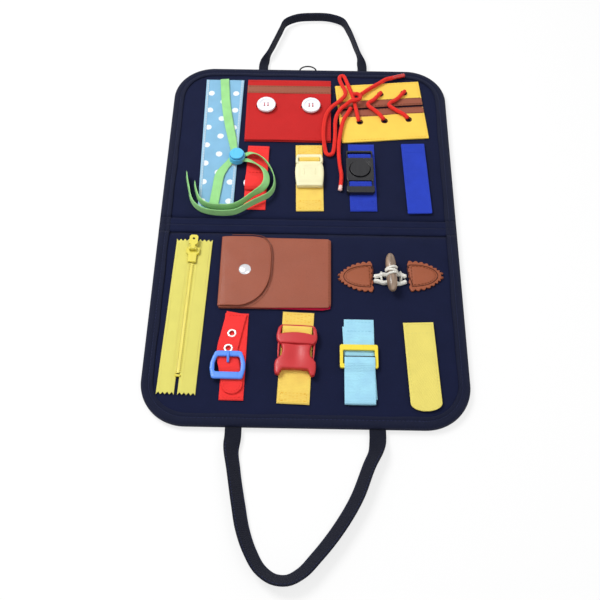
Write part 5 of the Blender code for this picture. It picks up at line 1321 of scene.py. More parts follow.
def make_handles():
    """Both webbing handles"""
    for word, side, route, more, drop in (("lower", -1, LOWER_HANDLE_ROUTE, 1.0, 0),
                                          ("upper", 1, UPPER_HANDLE_ROUTE, 1.7, 0.0020)):
        narrow = HANDLE_SHARES[word]
        rows = [(x, side * (HANDLE_START + out), z - drop * lean / 75, min(80, lean * more), share * narrow)
                for x, out, z, lean, share in route]
        root = side * (BOARD_EDGE - 0.0003)
        rows = [(rows[0][0], root, *rows[0][2:])] + rows + [(rows[-1][0], root, *rows[-1][2:])]
        stations = ribbon_stations(rows, HANDLE_WIDTH, 0.0025)
        name = word + "_handle"
        strap_piece = band(name + "_strap", stations, HANDLE_THICK, "handle", None, [name],
                           10)
        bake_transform(strap_piece)
        lines = []
        sewn = stations[6:-6]
        for share in (-0.8, 0.8):
            for face in (1, -1):
                line = []
                for (place, across), (following, _) in zip(sewn, sewn[1:]):
                    top = across.cross(following - place).normalized()
                    line.append(place + across * share + top * (face * HANDLE_THICK * 0.44))
                lines.append(line)
        stitches(name + "_stitches", lines, "navy_thread", name)
    loop = [(x, BOARD_EDGE + out - 0.0004, HANDLE_HEIGHT) for x, out in CLOSING_LOOP_ROUTE]
    tube("elastic_loop", smooth_route(loop, 0.0008), LOOP_RADIUS, "elastic", "upper_panel", ["closing_loop"])


# Items of the upper panel
WEBBING = 0.0013
GAP = 0.0003
PATCH_BOTTOM_SHARE = 0.858
HEM_WIDTH = 0.0030
HEM_THICK = 0.0004
BUTTON_REACH = 0.0017
BUTTON_HOLE_HALF = 0.0098
LACING_TRIM = 0.0090
LACE_HOLE_SHARES = (-0.266, 0.021, 0.302)
LACE_HOLE_RADIUS = 0.0026
TAB_TIP = 0.0070


def both_sides(right):
    """A whole outline from its right half, which runs from top to bottom"""
    return right + [(-x, y) for x, y in reversed(right)]


def strap_bridge(name, spot, high_y, low_y, half, high_z, low_z, look, body):
    """The strap where it comes over a bar and dips through a buckle's window"""
    span = high_y - low_y
    rows = [(high_y, high_z - 0.0012), (high_y - span * 0.15, high_z - 0.0002),
            (high_y - span * 0.5, high_z - 0.0005), (low_y, low_z)]
    path = smooth_route([(y, 0, z) for y, z in rows], 0.0006)
    stations = [(spot.at(0, y, z), spot.across * -half) for y, _, z in path]
    return band(name, stations, 0.0010, look, body, (), 12)


def make_dotted_patch():
    """Dotted casing of the drawstring, with its hems"""
    spot = Spot("dotted_patch")
    bottom = spot.half_x * PATCH_BOTTOM_SHARE
    thick = spot.high - spot.low - 0.0004
    middle = spot.low + thick / 2 - SINK

    def gathered(share, along, face, total):
        pucker = math.sin(along * 330 + share * 2) * 0.5 + math.sin(along * 151 + share * 3.7)
        return UP * (0.00010 * pucker * (1 - share ** 4) + 0.00012 * math.exp(-((share - 0.1) / 0.3) ** 2))

    rows = [(-spot.half_y, -bottom, bottom, middle), (spot.half_y, -spot.half_x, spot.half_x, middle)]
    patch = flat_band("dotted_casing", spot, rows, thick, "dotted", "upper_panel", ["dotted_patch"],
                      24, gathered)
    laid(patch)
    lines = []
    for side in (-1, 1):
        low, high = side * bottom, side * spot.half_x
        inner_low, inner_high = low - side * HEM_WIDTH, high - side * HEM_WIDTH
        z = middle + thick / 2 + 0.00002
        rows = [(-spot.half_y + 0.0004, *sorted((low - side * 0.0002, inner_low)), z),
                (spot.half_y - 0.0004, *sorted((high - side * 0.0002, inner_high)), z)]
        word = "left" if side < 0 else "right"
        flat_band("dotted_hem_" + word, spot, rows, HEM_THICK, "pale_cotton", "upper_panel", (),
                  5)
        edge = HEM_WIDTH * 0.7
        lines.append([spot.at(low - side * edge, -spot.half_y + 0.001, z + 0.0002),
                      spot.at(high - side * edge, spot.half_y - 0.001, z + 0.0002)])
    stitches("dotted_stitches", lines, "white_thread", "upper_panel")


def make_cord_lock():
    """Barrel and press button of the cord lock"""
    moulded("cord_lock_barrel", "sky", "upper_panel", 0.0006)
    moulded("cord_lock_button", "sky", "lock_button", 0.0005)


def make_button_patch():
    """Backing and flap with its trim, and the two white buttons"""
    backing = Spot("button_backing")
    z = (backing.low + backing.high) / 2 - SINK
    rows = [(-backing.half_y, -backing.half_x, backing.half_x, z),
            (backing.half_y, -backing.half_x, backing.half_x, z)]
    under = flat_band("button_backing_cloth", backing, rows, backing.high - backing.low, "red_cloth",
                      "upper_panel", ["button_backing"], 30, ripple(0.00008, 0.03, 1.0))
    laid(under)
    spot = Spot("button_flap")
    top = spot.high - 0.0005
    slits = []
    buttons = [Spot("button_left"), Spot("button_right")]
    for button in buttons:
        x, y = button.middle.x - spot.middle.x, button.middle.y - spot.middle.y
        slits.append(rectangle(BUTTON_HOLE_HALF, 0.0014, 0.0012, (x, y)))
    flap = cut_piece("button_flap_cloth", spot, rectangle(spot.half_x, spot.half_y, 0.0008), spot.low, top,
                     "red_cloth",
                     "upper_panel", ["button_flap"], slits, waves(0.00012, 0.035, 0.4))
    laid(flap)
    trim = [(spot.half_y - 0.0100, -spot.half_x + 0.0002, spot.half_x - 0.0002, top + 0.00015),
            (spot.half_y - 0.0004, -spot.half_x + 0.0002, spot.half_x - 0.0002, top + 0.00015)]
    flat_band("button_trim", spot, trim, 0.0007, "trim", "upper_panel", (), 40, step=0.0008)
    lines = []
    for y in (spot.half_y - 0.0088, spot.half_y - 0.0016):
        lines.append(spot.line_across(0.001, y, top + 0.0005))
    stitches("button_trim_stitches", lines, "tan_thread", "upper_panel")
    low_edge = -spot.half_y + STITCH_INSET
    sides = [[spot.at(side * (spot.half_x - STITCH_INSET), -spot.half_y + 0.002, top),
              spot.at(side * (spot.half_x - STITCH_INSET), spot.half_y - 0.011, top)] for side in (-1, 1)]
    sides.append(spot.line_across(STITCH_INSET, low_edge, top))
    high_edge = backing.half_y - STITCH_INSET
    back_top = backing.high - SINK
    sides.append([backing.at(-backing.half_x + STITCH_INSET, high_edge, back_top),
                  backing.at(backing.half_x - STITCH_INSET, high_edge, back_top)])
    stitches("button_patch_stitches", sides, "red_thread", "upper_panel")
    for name, button, slit in zip(("button_left", "button_right"), buttons, slits):
        edge = [Vector(place) for place in slit]
        ring = [spot.at(place[0], place[1], top) for place in drawn_in(refined(edge, 0.0008), -0.0007)]
        tube(name + "_hole_thread", ring + ring[:2], 0.0006, "red_thread", "upper_panel",
             sides=8)
        moulded(name, "white", name, 0.00045)
        height = button.high - 0.0006
        for count, side in enumerate((-1, 1)):
            x = side * BUTTON_REACH
            route = [button.at(x, -BUTTON_REACH, height - 0.0012),
                     button.at(x, -BUTTON_REACH * 0.75, height - 0.0001),
                     button.at(x, 0, height + 0.0002), button.at(x, BUTTON_REACH * 0.75, height - 0.0001),
                     button.at(x, BUTTON_REACH, height - 0.0012)]
            path = smooth_route([tuple(place) for place in route], 0.0003)
            tube(name + "_thread_" + str(count), path, 0.00034, "red_thread", name,
                 sides=8)


def make_lacing_patch():
    """Upper and lower flap of the lacing patch, each with its trim and holes"""
    for word, side in (("upper", 1), ("lower", -1)):
        node = "lacing_" + word + "_flap"
        spot = Spot(node, TURNS["lacing"])
        top = spot.high - 0.0005
        edge = -side * spot.half_y
        reach = edge + side * 0.0154
        holes = [(share * 2 * spot.half_x, reach) for share in LACE_HOLE_SHARES]
        loops = [round_hole(LACE_HOLE_RADIUS - 0.0003, x, y) for x, y in holes]
        body = cut_piece("lacing_" + word + "_cloth", spot, rectangle(spot.half_x, spot.half_y, 0.0008),
                         spot.low - SINK,
                         top, "yellow_cloth", "upper_panel", [node], loops,
                         waves(0.00012, 0.03, side))
        laid(body)
        ends = sorted((edge - side * 0.0003, edge + side * LACING_TRIM))
        thick = top - spot.low + 0.0006
        rows = [(y, -spot.half_x + 0.0002, spot.half_x - 0.0002, spot.low + thick / 2 - SINK) for y in ends]
        flat_band("lacing_" + word + "_trim", spot, rows, thick, "trim", "upper_panel", (),
                  40, step=0.0005)
        lines = []
        for y in (ends[0] + 0.0012, ends[1] - 0.0012):
            lines.append(spot.line_across(0.001, y, top + 0.0005))
        stitches("lacing_" + word + "_trim_stitches", lines, "tan_thread", "upper_panel")
        far = side * (spot.half_y - STITCH_INSET)
        inner = edge + side * (LACING_TRIM + 0.001)
        half = spot.half_x - STITCH_INSET
        lines = [[spot.at(-half, inner, top), spot.at(-half, far, top), spot.at(half, far, top),
                  spot.at(half, inner, top)]]
        stitches("lacing_" + word + "_stitches", lines, "yellow_thread", "upper_panel")
        for count, (x, y) in enumerate(holes):
            place = spot.at(x, y, top)
            profile = [(LACE_HOLE_RADIUS - 0.0004, -0.0006), (LACE_HOLE_RADIUS - 0.0003, 0.0001),
                       (LACE_HOLE_RADIUS, 0.0003), (LACE_HOLE_RADIUS + 0.0005, 0.0002),
                       (LACE_HOLE_RADIUS + 0.0007, -0.0001), (LACE_HOLE_RADIUS - 0.0004, -0.0006)]
            turned("lacing_" + word + "_rim_" + str(count), profile, place, "dark_rim", "upper_panel",
                   steps=28)


def strap_stitches(name, spot, z, look, body, ends=(-1, 1), deep=0.009):
    """A box of stitches at each end of a strap"""
    lines = []
    for side in ends:
        near, far = sorted((side * (spot.half_y - 0.0022), side * (spot.half_y - 0.0022 - deep)))
        lines += sewn_box(spot, near, far, spot.half_x - 0.0026, z)
    stitches(name, lines, look, body)


def make_ring_strap():
    """Red strap with the white ring in its fold"""
    spot = Spot("ring_strap", TURNS["ring"])
    ring = Spot("strap_ring", TURNS["ring"])
    low = spot.low
    base = strap("ring_strap_under", spot, "red_web", "upper_panel", (), WEBBING)
    middle = (ring.middle - spot.middle).dot(spot.along)
    reach = ring.half_y + 0.0004
    top = spot.high - WEBBING / 2
    second = low + WEBBING * 1.5
    half = spot.half_x
    rows = [(spot.half_y - 0.0002, second), (middle + reach + 0.0052, second),
            (middle + reach + 0.0024, second + 0.0012),
            (middle + reach - 0.0004, top - 0.0002), (middle, top), (middle - reach + 0.0004, top - 0.0002),
            (middle - reach - 0.0014, second + 0.0011), (middle - reach - 0.0026, second - 0.0002)]
    path = smooth_route([(y, 0, z) for y, z in rows], 0.0010)
    stations = [(spot.at(0, y, z), spot.across * -half) for y, _, z in path]
    loop = band("ring_strap_fold", stations, WEBBING, "red_web", "upper_panel", ["ring_strap"],
                12)
    laid(base)
    laid(loop)
    z = low + 2 * WEBBING - SINK * 0.5
    lines = [spot.line_across(STITCH_END, y, z) for y in (spot.half_y - 0.003, middle + reach + 0.0075)]
    z = low + WEBBING - SINK
    lines += [spot.line_across(STITCH_END, y, z) for y in (-spot.half_y + 0.003, -spot.half_y + 0.0125)]
    stitches("ring_strap_stitches", lines, "red_thread", "upper_panel")
    moulded("strap_ring", "white", "ring", 0.0007)


def make_cream_strap():
    """Yellow strap with the cream buckle's socket and clip"""
    spot = Spot("cream_strap", TURNS["cream"])
    piece = strap("cream_strap_web", spot, "yellow_web", "upper_panel", ["cream_strap"],
                  WEBBING)
    laid(piece)
    strap_stitches("cream_strap_stitches", spot, spot.high - SINK, "yellow_thread", "upper_panel")
    low, high = Spot("cream_buckle").low, Spot("cream_buckle").high
    mouth, foot = 0.0121, -0.0130
    right = [(0.0118, mouth), (0.0129, 0.0085), (0.0132, 0.0030), (0.0130, -0.0030), (0.0124, -0.0085),
             (0.0116, foot)]
    recess_half, recess_near, recess_far = 0.0094, -0.0042, 0.0094

    def recessed(x, y, face):
        if face < 0:
            return Vector((0, 0, 0))
        inside = min(recess_half - abs(x), y - recess_near, recess_far - y)
        sunk = max(0.0, min(1.0, inside / 0.0006))
        lip = max(0.0, min(1.0, (-0.0080 - y) / 0.0012))
        return UP * (-0.0006 * sunk - 0.0007 * lip - 0.0009 * (x / 0.0132) ** 4)
    cut_piece("cream_socket", spot, both_sides(right), low, high, "cream", "upper_panel", ["cream_buckle"],
              (), recessed, 0.0009, 0.20, 0.0015)
    for count, x in enumerate((-0.0052, 0.0052)):
        route = [spot.at(x, y, high - 0.0008) for y in (-0.0010, 0.0010, 0.0035, 0.0060)]
        tube("cream_grip_" + str(count), route, 0.0006, "cream", "upper_panel",
             sides=10)
    near, far = mouth + 0.0004, 0.0230
    clip_high = Spot("cream_clip").high + 0.0004
    right = [(0.0104, far), (0.0118, far - 0.0010), (0.0126, far - 0.0045), (0.0127, near + 0.0030),
             (0.0120, near)]
    window = rectangle(0.0098, 0.0028, 0.0010, (0, near + 0.0035))
    cut_piece("cream_clip_frame", spot, both_sides(right), low, clip_high, "cream", "cream_clip",
              ["cream_clip"], [window], None, 0.0012, 0.30, 0.0012)
    prong_low = low + 0.0016
    cut_piece("cream_clip_prong", spot, rectangle(0.0064, 0.0080, 0.0015, (0, near - 0.0075)), prong_low,
              prong_low + 0.0022, "cream", "cream_clip", (), pitch=0.004)
    strap_bridge("cream_strap_bridge", spot, far - 0.0040, near + 0.0006, 0.0094, clip_high + 0.0001,
                 clip_high - 0.0022, "yellow_web", "cream_clip")


def make_blue_strap():
    """Blue strap with the black buckle's frame and press button"""
    spot = Spot("blue_strap", TURNS["blue"])
    piece = strap("blue_strap_web", spot, "blue_web", "upper_panel", ["blue_strap"], WEBBING)
    laid(piece)
    strap_stitches("blue_strap_stitches", spot, spot.high - SINK, "blue_thread", "upper_panel")
    buckle = Spot("black_buckle", TURNS["blue"])
    button = Spot("black_button")
    far = buckle.half_y
    centre = ((button.middle - buckle.middle).dot(buckle.across),
              (button.middle - buckle.middle).dot(buckle.along))
    half = buckle.half_x - 0.0003
    right = [(half - 0.0012, far), (half - 0.0002, far - 0.0012), (half - 0.0006, far - 0.0080),
             (half, far - 0.0110),
             (half, -0.0085), (half - 0.0008, -0.0118), (half - 0.0006, -0.0168), (half + 0.0002, -0.0182),
             (half + 0.0002, -far + 0.0016), (half - 0.0012, -far)]
    upper = rectangle(half - 0.0016, 0.0034, 0.0008, (0, far - 0.0054))
    lower = rectangle(half - 0.0020, 0.0032, 0.0008, (0, -0.0142))
    bore = round_hole(button.half_x + 0.0004, *centre, 40)

    def moulding(x, y, face):
        away = math.hypot(x - centre[0], y - centre[1])
        dip = 0.0005 * math.exp(-((away - 0.0110) / 0.0005) ** 2)
        drop = 0.0012 * max(0.0, min(1.0, (y - (far - 0.0100)) / 0.002))
        return UP * ((-dip - drop) if face > 0 else 0)
    cut_piece("black_buckle_body", buckle, both_sides(right), buckle.low, buckle.high, "black", "upper_panel",
              ["black_buckle"], [upper, lower, bore], moulding, 0.0010, 0.18, 0.0012)
    moulded("black_button", "black", "black_button", 0.0005)
    strap_bridge("blue_strap_bridge_upper", buckle, far - 0.0040, far - 0.0092, half - 0.0019,
                 buckle.high - 0.0014, buckle.high - 0.0026, "blue_web", "upper_panel")
    strap_bridge("blue_strap_bridge_lower", buckle, -0.0112, -0.0170, half - 0.0023, buckle.high - 0.0012,
                 buckle.high - 0.0014, "blue_web", "upper_panel")


def tab_outline(half_x, half_y, tip):
    if not tip:
        return rectangle(half_x, half_y, 0.0010)
    points = [(half_x, half_y), (-half_x, half_y)]
    for step in range(25):
        angle = math.radians(180 + 180 * step / 24)
        points.append((half_x * math.cos(angle), -half_y + tip + tip * math.sin(angle)))
    return points


def make_tab(name, look, thread, panel, tip=0.0):
    turn = TURNS[name]
    base = Spot(name + "_base", turn)
    under = cut_piece(name + "_hooks", base, tab_outline(base.half_x, base.half_y, tip and tip - 0.0008),
                      base.low - SINK, base.high, look, panel, [name + "_base"], pitch=0.006)
    laid(under)
    spot = Spot(name + "_flap", turn)
    flap = cut_piece(name + "_loops", spot, tab_outline(spot.half_x, spot.half_y, tip), spot.low, spot.high,
                     look, name + "_flap", [name + "_flap"], (), waves(0.00010, 0.04, tip * 300))
    laid(flap)
    z = spot.high - 0.00002
    half = spot.half_x - 0.0020
    far = spot.half_y - 0.0020
    near = -spot.half_y + (tip + 0.002 if tip else 0.003)
    lines = [[spot.at(-half, near, z), spot.at(-half, far, z), spot.at(half, far, z), spot.at(half, near, z)],
             [spot.at(-half, far - 0.008, z), spot.at(half, far - 0.008, z)]]
    stitches(name + "_stitches", lines, thread, name + "_flap")


# Items of the lower panel
ZIP_WIDTH = 0.0315
ZIP_LENGTH = 0.1475
ZIP_TAPE_THICK = 0.0010
ZIP_SLIT_HALF = 0.0013
PINK_TEETH = 4
PINK_DEPTH = 0.0022
TOOTH = 0.0013
TOOTH_PITCH = 0.0018
TOOTH_HALF = 0.0022
CHAIN_TOP = 0.0070
CHAIN_BOTTOM = 0.0170
LEATHER = 0.0010
FLAP_LENGTH = 0.0440
FLAP_SHOULDER_SHARES = (
    (0.62, 1.0), (0.83, 0.97), (0.94, 0.89), (0.99, 0.76), (0.995, 0.58), (0.98, 0.42),
    (0.915, 0.275), (0.80, 0.15), (0.66, 0.07), (0.49, 0.02),
)
PAD_SERRATIONS = 9
PAD_NOTCH = 0.0019
PAD_LENGTH = 0.0305
PAD_WIDTH = 0.0305
PAD_CURVE = 2.6
TONGUE_LENGTH = 0.0728
TONGUE_WIDTH = 0.0172
TONGUE_LEAN = 0.0056
TONGUE_KNEE_SHARE = 0.52
EYELET_FIRST = 0.0193
EYELET_PITCH = 0.0137
EYELET_RADIUS = 0.0025


def zip_outline(side):
    """One tape with pinked ends"""
    inner, outer, far = ZIP_SLIT_HALF, ZIP_WIDTH / 2, ZIP_LENGTH / 2
    step = (outer - inner) / PINK_TEETH
    top = [(inner, far)]
    for tooth in range(PINK_TEETH):
        left = inner + tooth * step
        top += [(left + step / 2, far - PINK_DEPTH), (left + step, far)]
    return [(side * x, y) for x, y in top + [(x, -y) for x, y in reversed(top)]]


def make_zip():
    """Two tapes with their teeth, the slider and its pull"""
    left, right = Spot("zipper_tape_left", TURNS["zip"]), Spot("zipper_tape_right", TURNS["zip"])
    spot = Spot("zipper_tape_left", TURNS["zip"])
    spot.middle = (left.at(-left.half_x, 0, 0) + right.at(right.half_x, 0, 0)) / 2
    low = left.low - SINK
    top = low + ZIP_TAPE_THICK
    for word, side in (("left", -1), ("right", 1)):
        def lifted(x, y, face, side=side):
            swell = 0.00045 * math.exp(-((abs(x) - 0.006) / 0.004) ** 2)
            return UP * (swell + 0.00015 * math.sin(y * 75 + side) * abs(x) / 0.016)
        tape = cut_piece("zip_tape_" + word, spot, zip_outline(side), low, top, "zip", "lower_panel",
                         ["zipper_tape_" + word], (), lifted, 0.0025)
        laid(tape)
        points, faces = [], []
        far, near = ZIP_LENGTH / 2 - CHAIN_TOP, CHAIN_BOTTOM - ZIP_LENGTH / 2
        count = int((far - near) / TOOTH_PITCH)
        base_z = top + 0.0001
        section = ((-0.0007, 0.0), (-0.0007, 0.0006), (-0.0004, 0.00095), (0.0004, 0.00095), (0.0007, 0.0006),
                   (0.0007, 0.0))
        for tooth in range(count):
            y = far - tooth * TOOTH_PITCH - (0 if side > 0 else TOOTH_PITCH / 2)
            start = len(points)
            for x, wide in ((TOOTH_HALF, 0.75), (TOOTH_HALF - 0.0006, 1.0), (-0.0002, 1.0), (-0.0010, 0.8)):
                for across, up in section:
                    points.append(spot.at(side * x, y + across * wide * TOOTH / 0.0018,
                                          base_z + up * (0.85 + 0.15 * wide)))
            size = len(section)
            for ring in range(3):
                for k in range(size):
                    a, b = start + ring * size + k, start + ring * size + (k + 1) % size
                    faces.append((a, a + size, b + size, b) if side < 0 else (a, b, b + size, a + size))
            first = [start + k for k in range(size)]
            last = [start + 3 * size + k for k in range(size)]
            faces += [first if side < 0 else first[::-1], last[::-1] if side < 0 else last]
        new_mesh("zip_teeth_" + word, points, faces, "zip_teeth", "lower_panel",
                 smooth=False)
        edge = side * (ZIP_WIDTH / 2 - 0.0022)
        rail = side * 0.0046
        z = top + 0.0001
        lines = [[spot.at(edge, -ZIP_LENGTH / 2 + 0.004, z), spot.at(edge, ZIP_LENGTH / 2 - 0.004, z)],
                 [spot.at(rail, near - 0.006, z + 0.0004), spot.at(rail, ZIP_LENGTH / 2 - 0.004, z + 0.0004)]]
        stitches("zip_stitches_" + word, lines, "pale_thread", "lower_panel")
        stop = [spot.at(side * 0.0012, y, top + 0.0006)
                for y in (far + 0.0006, far + 0.0016, far + 0.0028, far + 0.0036)]
        tube("zip_stop_" + word, stop, 0.0008, "zip_metal", "lower_panel", sides=10)
    bar = [spot.at(x, near - 0.0006, top + 0.0005) for x in (-0.0020, -0.0007, 0.0007, 0.0020)]
    tube("zip_bottom_stop", bar, 0.0011, "zip_metal", "lower_panel", sides=10)
    moulded("zipper_slider", "zip_metal", "slider", 0.0004)
    moulded("zipper_pull", "zip_metal", "pull", 0.00035)


def wallet_flap_outline(spot):
    """The flap's edge as in the part: straight at the fold, then round shoulders"""
    left, far = -spot.half_x, spot.half_y
    ends = [(left, -far), (left, far)]
    shoulder = []
    board_far = 0.0698 / 2
    shift = board_far - far
    for across_share, along_share in FLAP_SHOULDER_SHARES:
        shoulder.append((left + across_share * FLAP_LENGTH, (2 * along_share - 1) * board_far - shift))
    rows = [(x, y, 0) for x,
            y in [(left + 0.15 * FLAP_LENGTH, far)] + shoulder + [(left + 0.2 * FLAP_LENGTH, -far)]]
    curve = smooth_route(rows, 0.0012)
    return ends + [(float(x), min(float(y), far)) for x, y, _ in curve]


def make_wallet():
    """Folded body, lining, flap and snap cap"""
    spot = Spot("wallet_body")
    rise = (spot.high - spot.low) / 2 - LEATHER / 2
    middle = (spot.high + spot.low) / 2 - SINK / 2
    stations = []
    right = spot.half_x - 0.0002
    bend = -spot.half_x + LEATHER / 2 + rise
    path = [(right - (right - bend) * step / 40, -rise) for step in range(41)]
    path += [(bend - rise * math.sin(math.radians(a)), -rise * math.cos(math.radians(a)))
             for a in range(15, 180, 15)]
    path += [(bend + (right - bend) * step / 40, rise) for step in range(41)]
    for x, z in path:
        corner = max(0.0, (x - right + 0.0028) / 0.0028)
        short = 0.0028 * (1 - math.sqrt(max(0.0, 1 - corner ** 2))) + (0.0007 * max(0, x + 0.01) / 0.05
                                                                       if z > 0 else 0)
        stations.append((spot.at(x, short * 0.35, middle + z), spot.along * (spot.half_y - short)))

    def settled(share, along, face, total):
        part = max(0.0, along - total * 0.52) / (total * 0.48)
        swell = 0.0006 * math.sin(math.pi * min(1.0, part)) * (1 - share ** 4)
        return UP * (swell + 0.00008 * math.sin(along * 140 + share * 3))
    body = band("wallet_leather", stations, LEATHER, "leather", "lower_panel", ["wallet_body"],
                26, settled)
    laid(body)
    lining = Spot("wallet_lining")
    half, far = lining.half_x - 0.0002, lining.half_y
    outline = [(-half, far), (-half, -far + 0.0014), (-half * 0.3, -far + 0.0010),
               (half * 0.4, -far + 0.0002),
               (half * 0.86, -far - 0.0003), (half, -far + 0.0014), (half, far)]
    cloth = cut_piece("wallet_lining_cloth", lining, outline, lining.low, lining.high, "lining",
                      "lower_panel", ["wallet_lining"], shape=waves(0.0001, 0.03, 2.0))
    laid(cloth)
    z = spot.high + 0.00005
    inset = 0.0020
    line = [spot.at(spot.half_x - inset, spot.half_y - inset, z),
            spot.at(spot.half_x - inset, -spot.half_y + inset, z)]
    stitches("wallet_stitches", [line], "tan_thread", "lower_panel")
    flap_spot = Spot("wallet_flap")
    snap = Spot("snap_cap")
    seat_x, seat_y = snap.middle.x - flap_spot.middle.x, snap.middle.y - flap_spot.middle.y + SNAP_SHIFT
    outline = wallet_flap_outline(flap_spot)

    def domed(x, y, face):
        fold = 0.0014 * math.exp(-(x + flap_spot.half_x) / 0.0030)
        belly = 0.0007 * math.cos(y / flap_spot.half_y * 1.2) * math.sin((x + flap_spot.half_x)
                                                                         / FLAP_LENGTH * math.pi)
        pulled = 0.0006 * math.exp(-((x - seat_x) ** 2 + (y - seat_y) ** 2) / 0.0085 ** 2)
        return UP * (belly - fold - pulled + 0.0003)

    flap = cut_piece("wallet_flap_leather", flap_spot, outline, flap_spot.low, flap_spot.high + 0.0001,
                     "leather", "wallet_flap", ["wallet_flap"], (), domed, 0.0030, 0.45,
                     0.0015)
    laid(flap)
    # A bead in a darker copy of the leather just inside the flap's edge: painted shade of its rolled edge
    hem = [Vector(place) for place in outline[2:]]
    rim = [flap_spot.at(x, y, flap_spot.high - 0.00005) + domed(x, y, 1) for x,
           y in drawn_in(hem, 0.0013)[2:-2]]
    tube("wallet_flap_rim_shade", smooth_route([tuple(place) for place in rim], 0.0015), 0.00035, "edge_shade_leather",
         "wallet_flap", sides=8)
    base = snap.low - 0.00035
    dome = [(0.0, 0.00225), (0.0016, 0.00220), (0.0030, 0.00202), (0.0041, 0.00168), (0.0049, 0.00120),
            (0.0053, 0.00078), (0.0054, 0.00058), (0.0056, 0.00048), (0.0056, 0.00020), (0.0054, 0.0),
            (0.0050, -0.0004), (0.0, -0.0004)]
    dome = [(max(radius, 0.00002), height) for radius, height in dome]
    turned("snap_dome", dome, Vector((snap.middle.x, snap.middle.y + SNAP_SHIFT, base)), "snap",
           "wallet_flap", ["snap_cap"], 48)


def pad_edge(side):
    """A leaf with round scallops from its flat inner side to its tip"""
    half, blunt = PAD_WIDTH / 2, 0.07 * PAD_WIDTH
    count = 14 * PAD_SERRATIONS
    edge = []
    for step in range(count + 1):
        share = step / count
        along = PAD_LENGTH * math.sin(share * math.pi / 2)
        y = blunt + (half - blunt) * (1 - math.sin(share * math.pi / 2) ** PAD_CURVE)
        notch = PAD_NOTCH * (1 - abs(math.sin(share * PAD_SERRATIONS * math.pi)))
        edge.append((along - notch * share, y - notch * (1 - 0.6 * share)))
    edge = edge[3:]
    points = edge + [(x, -y) for x, y in reversed(edge)]
    inner = []
    for step in range(1, 40):
        share = step / 40
        notch = 0.0014 * (1 - abs(math.sin(share * 5 * math.pi)))
        inner.append((0.0001 + notch, (2 * share - 1) * (half - 0.0010)))
    return [(side * x, y) for x, y in points + inner]


def make_toggle():
    """Two scalloped pads, their cords and the horn toggle"""
    turn = TURNS["toggle"]
    for word, side in (("left", -1), ("right", 1)):
        node = "toggle_pad_" + word
        spot = Spot(node, turn)
        outline = [(x - side * spot.half_x, y) for x, y in pad_edge(side)]
        reach, rise = PAD_LENGTH - 0.0080, PAD_WIDTH / 2 - 0.0046

        def quilted(x, y, face, spot=spot, side=side):
            if face < 0:
                return Vector((0, 0, 0))
            out = (side * x + spot.half_x - 0.0028) / reach
            depth = 1 - (abs(y) / rise) ** 2 - max(0.0, out) ** 2.2 if out > 0 else -1
            return UP * (0.0006 * math.sqrt(max(0.0, depth)) - 0.0003)
        pad = cut_piece("toggle_leather_" + word, spot, outline, spot.low - SINK, spot.high - 0.0005, "tan",
                        "lower_panel", [node], (), quilted, 0.0013, 0.3, 0.0010)
        laid(pad)
        ridge = []
        for step in range(41):
            angle = math.pi * (step / 40 - 0.5)
            x = 0.0028 + reach * math.cos(angle) ** 0.92
            ridge.append((side * x - side * spot.half_x, rise * math.sin(angle)))
        z = spot.high - 0.00072
        line = [spot.at(x, y, z) for x, y in ridge]
        path = smooth_route([tuple(place) for place in line + [line[0]]], 0.0008)
        # A dark line round the pad's raised middle: painted shade of the groove there
        tube("toggle_groove_shade_" + word, path, 0.00042, "dark_rim", "lower_panel", sides=8)
        inner = [spot.at(x * 0.9 - side * 0.1 * spot.half_x * 0.6, y * 0.88, z + 0.0005) for x, y in ridge]
        stitches("toggle_stitches_" + word, [inner[::2] + [inner[0]]], "tan_thread", "lower_panel",
                 radius=0.00026)
        route = TOGGLE_CORD_LEFT_ROUTE if side < 0 else TOGGLE_CORD_RIGHT_ROUTE
        route = [(x, y, z - 0.0005) for x, y, z in route]
        tube("toggle_loop_" + word, smooth_route(route, 0.0010), TOGGLE_CORD_RADIUS * 1.3, "cord",
             "lower_panel", ["toggle_cord_" + word], 14)
    spot = Spot("toggle_button", turn)
    middle = (spot.low + spot.high) / 2
    radius = (spot.high - spot.low) / 2
    shares = ((-1.0, 0.30), (-0.985, 0.42), (-0.95, 0.56), (-0.85, 0.76), (-0.70, 0.90), (-0.55, 0.98),
              (-0.35, 1.0),
              (-0.22, 0.96), (-0.14, 0.86), (-0.06, 0.80), (0.06, 0.80), (0.14, 0.86), (0.22, 0.96),
              (0.35, 1.0),
              (0.55, 0.98), (0.70, 0.90), (0.85, 0.76), (0.95, 0.56), (0.985, 0.42), (1.0, 0.30))
    profile = [(share * radius, -along * spot.half_y) for along, share in shares]
    turned("toggle_horn", profile, spot.at(0, 0, middle), "horn", "toggle", ["toggle_button"], 40,
           axis=spot.along)
    for count, (y, lean) in enumerate(((0.0030, 0.10), (0.0004, -0.05), (-0.0026, 0.12))):
        wrap = []
        for step in range(17):
            angle = math.pi * (0.06 + 0.88 * step / 16)
            wide = radius * 0.86 + 0.0006
            wrap.append(tuple(spot.at(wide * math.cos(angle) * 1.05, y + lean * 0.01 * math.cos(angle),
                                      middle + wide * math.sin(angle))))
        tube("toggle_wrap_" + str(count), smooth_route(wrap, 0.0006), 0.0011, "cord", "toggle")
    for word, side, x in (("left", -1, 0.0076), ("right", 1, 0.0084)):
        collar = []
        for step in range(25):
            angle = 2 * math.pi * step / 24
            collar.append(tuple(spot.at(side * (x + 0.0006 * math.sin(angle)), 0.0042 * math.cos(angle),
                                        spot.low - 0.0029 + 0.0017 * math.sin(angle))))
        tube("toggle_collar_" + word, smooth_route(collar, 0.0008), 0.0009, "cord", "lower_panel")


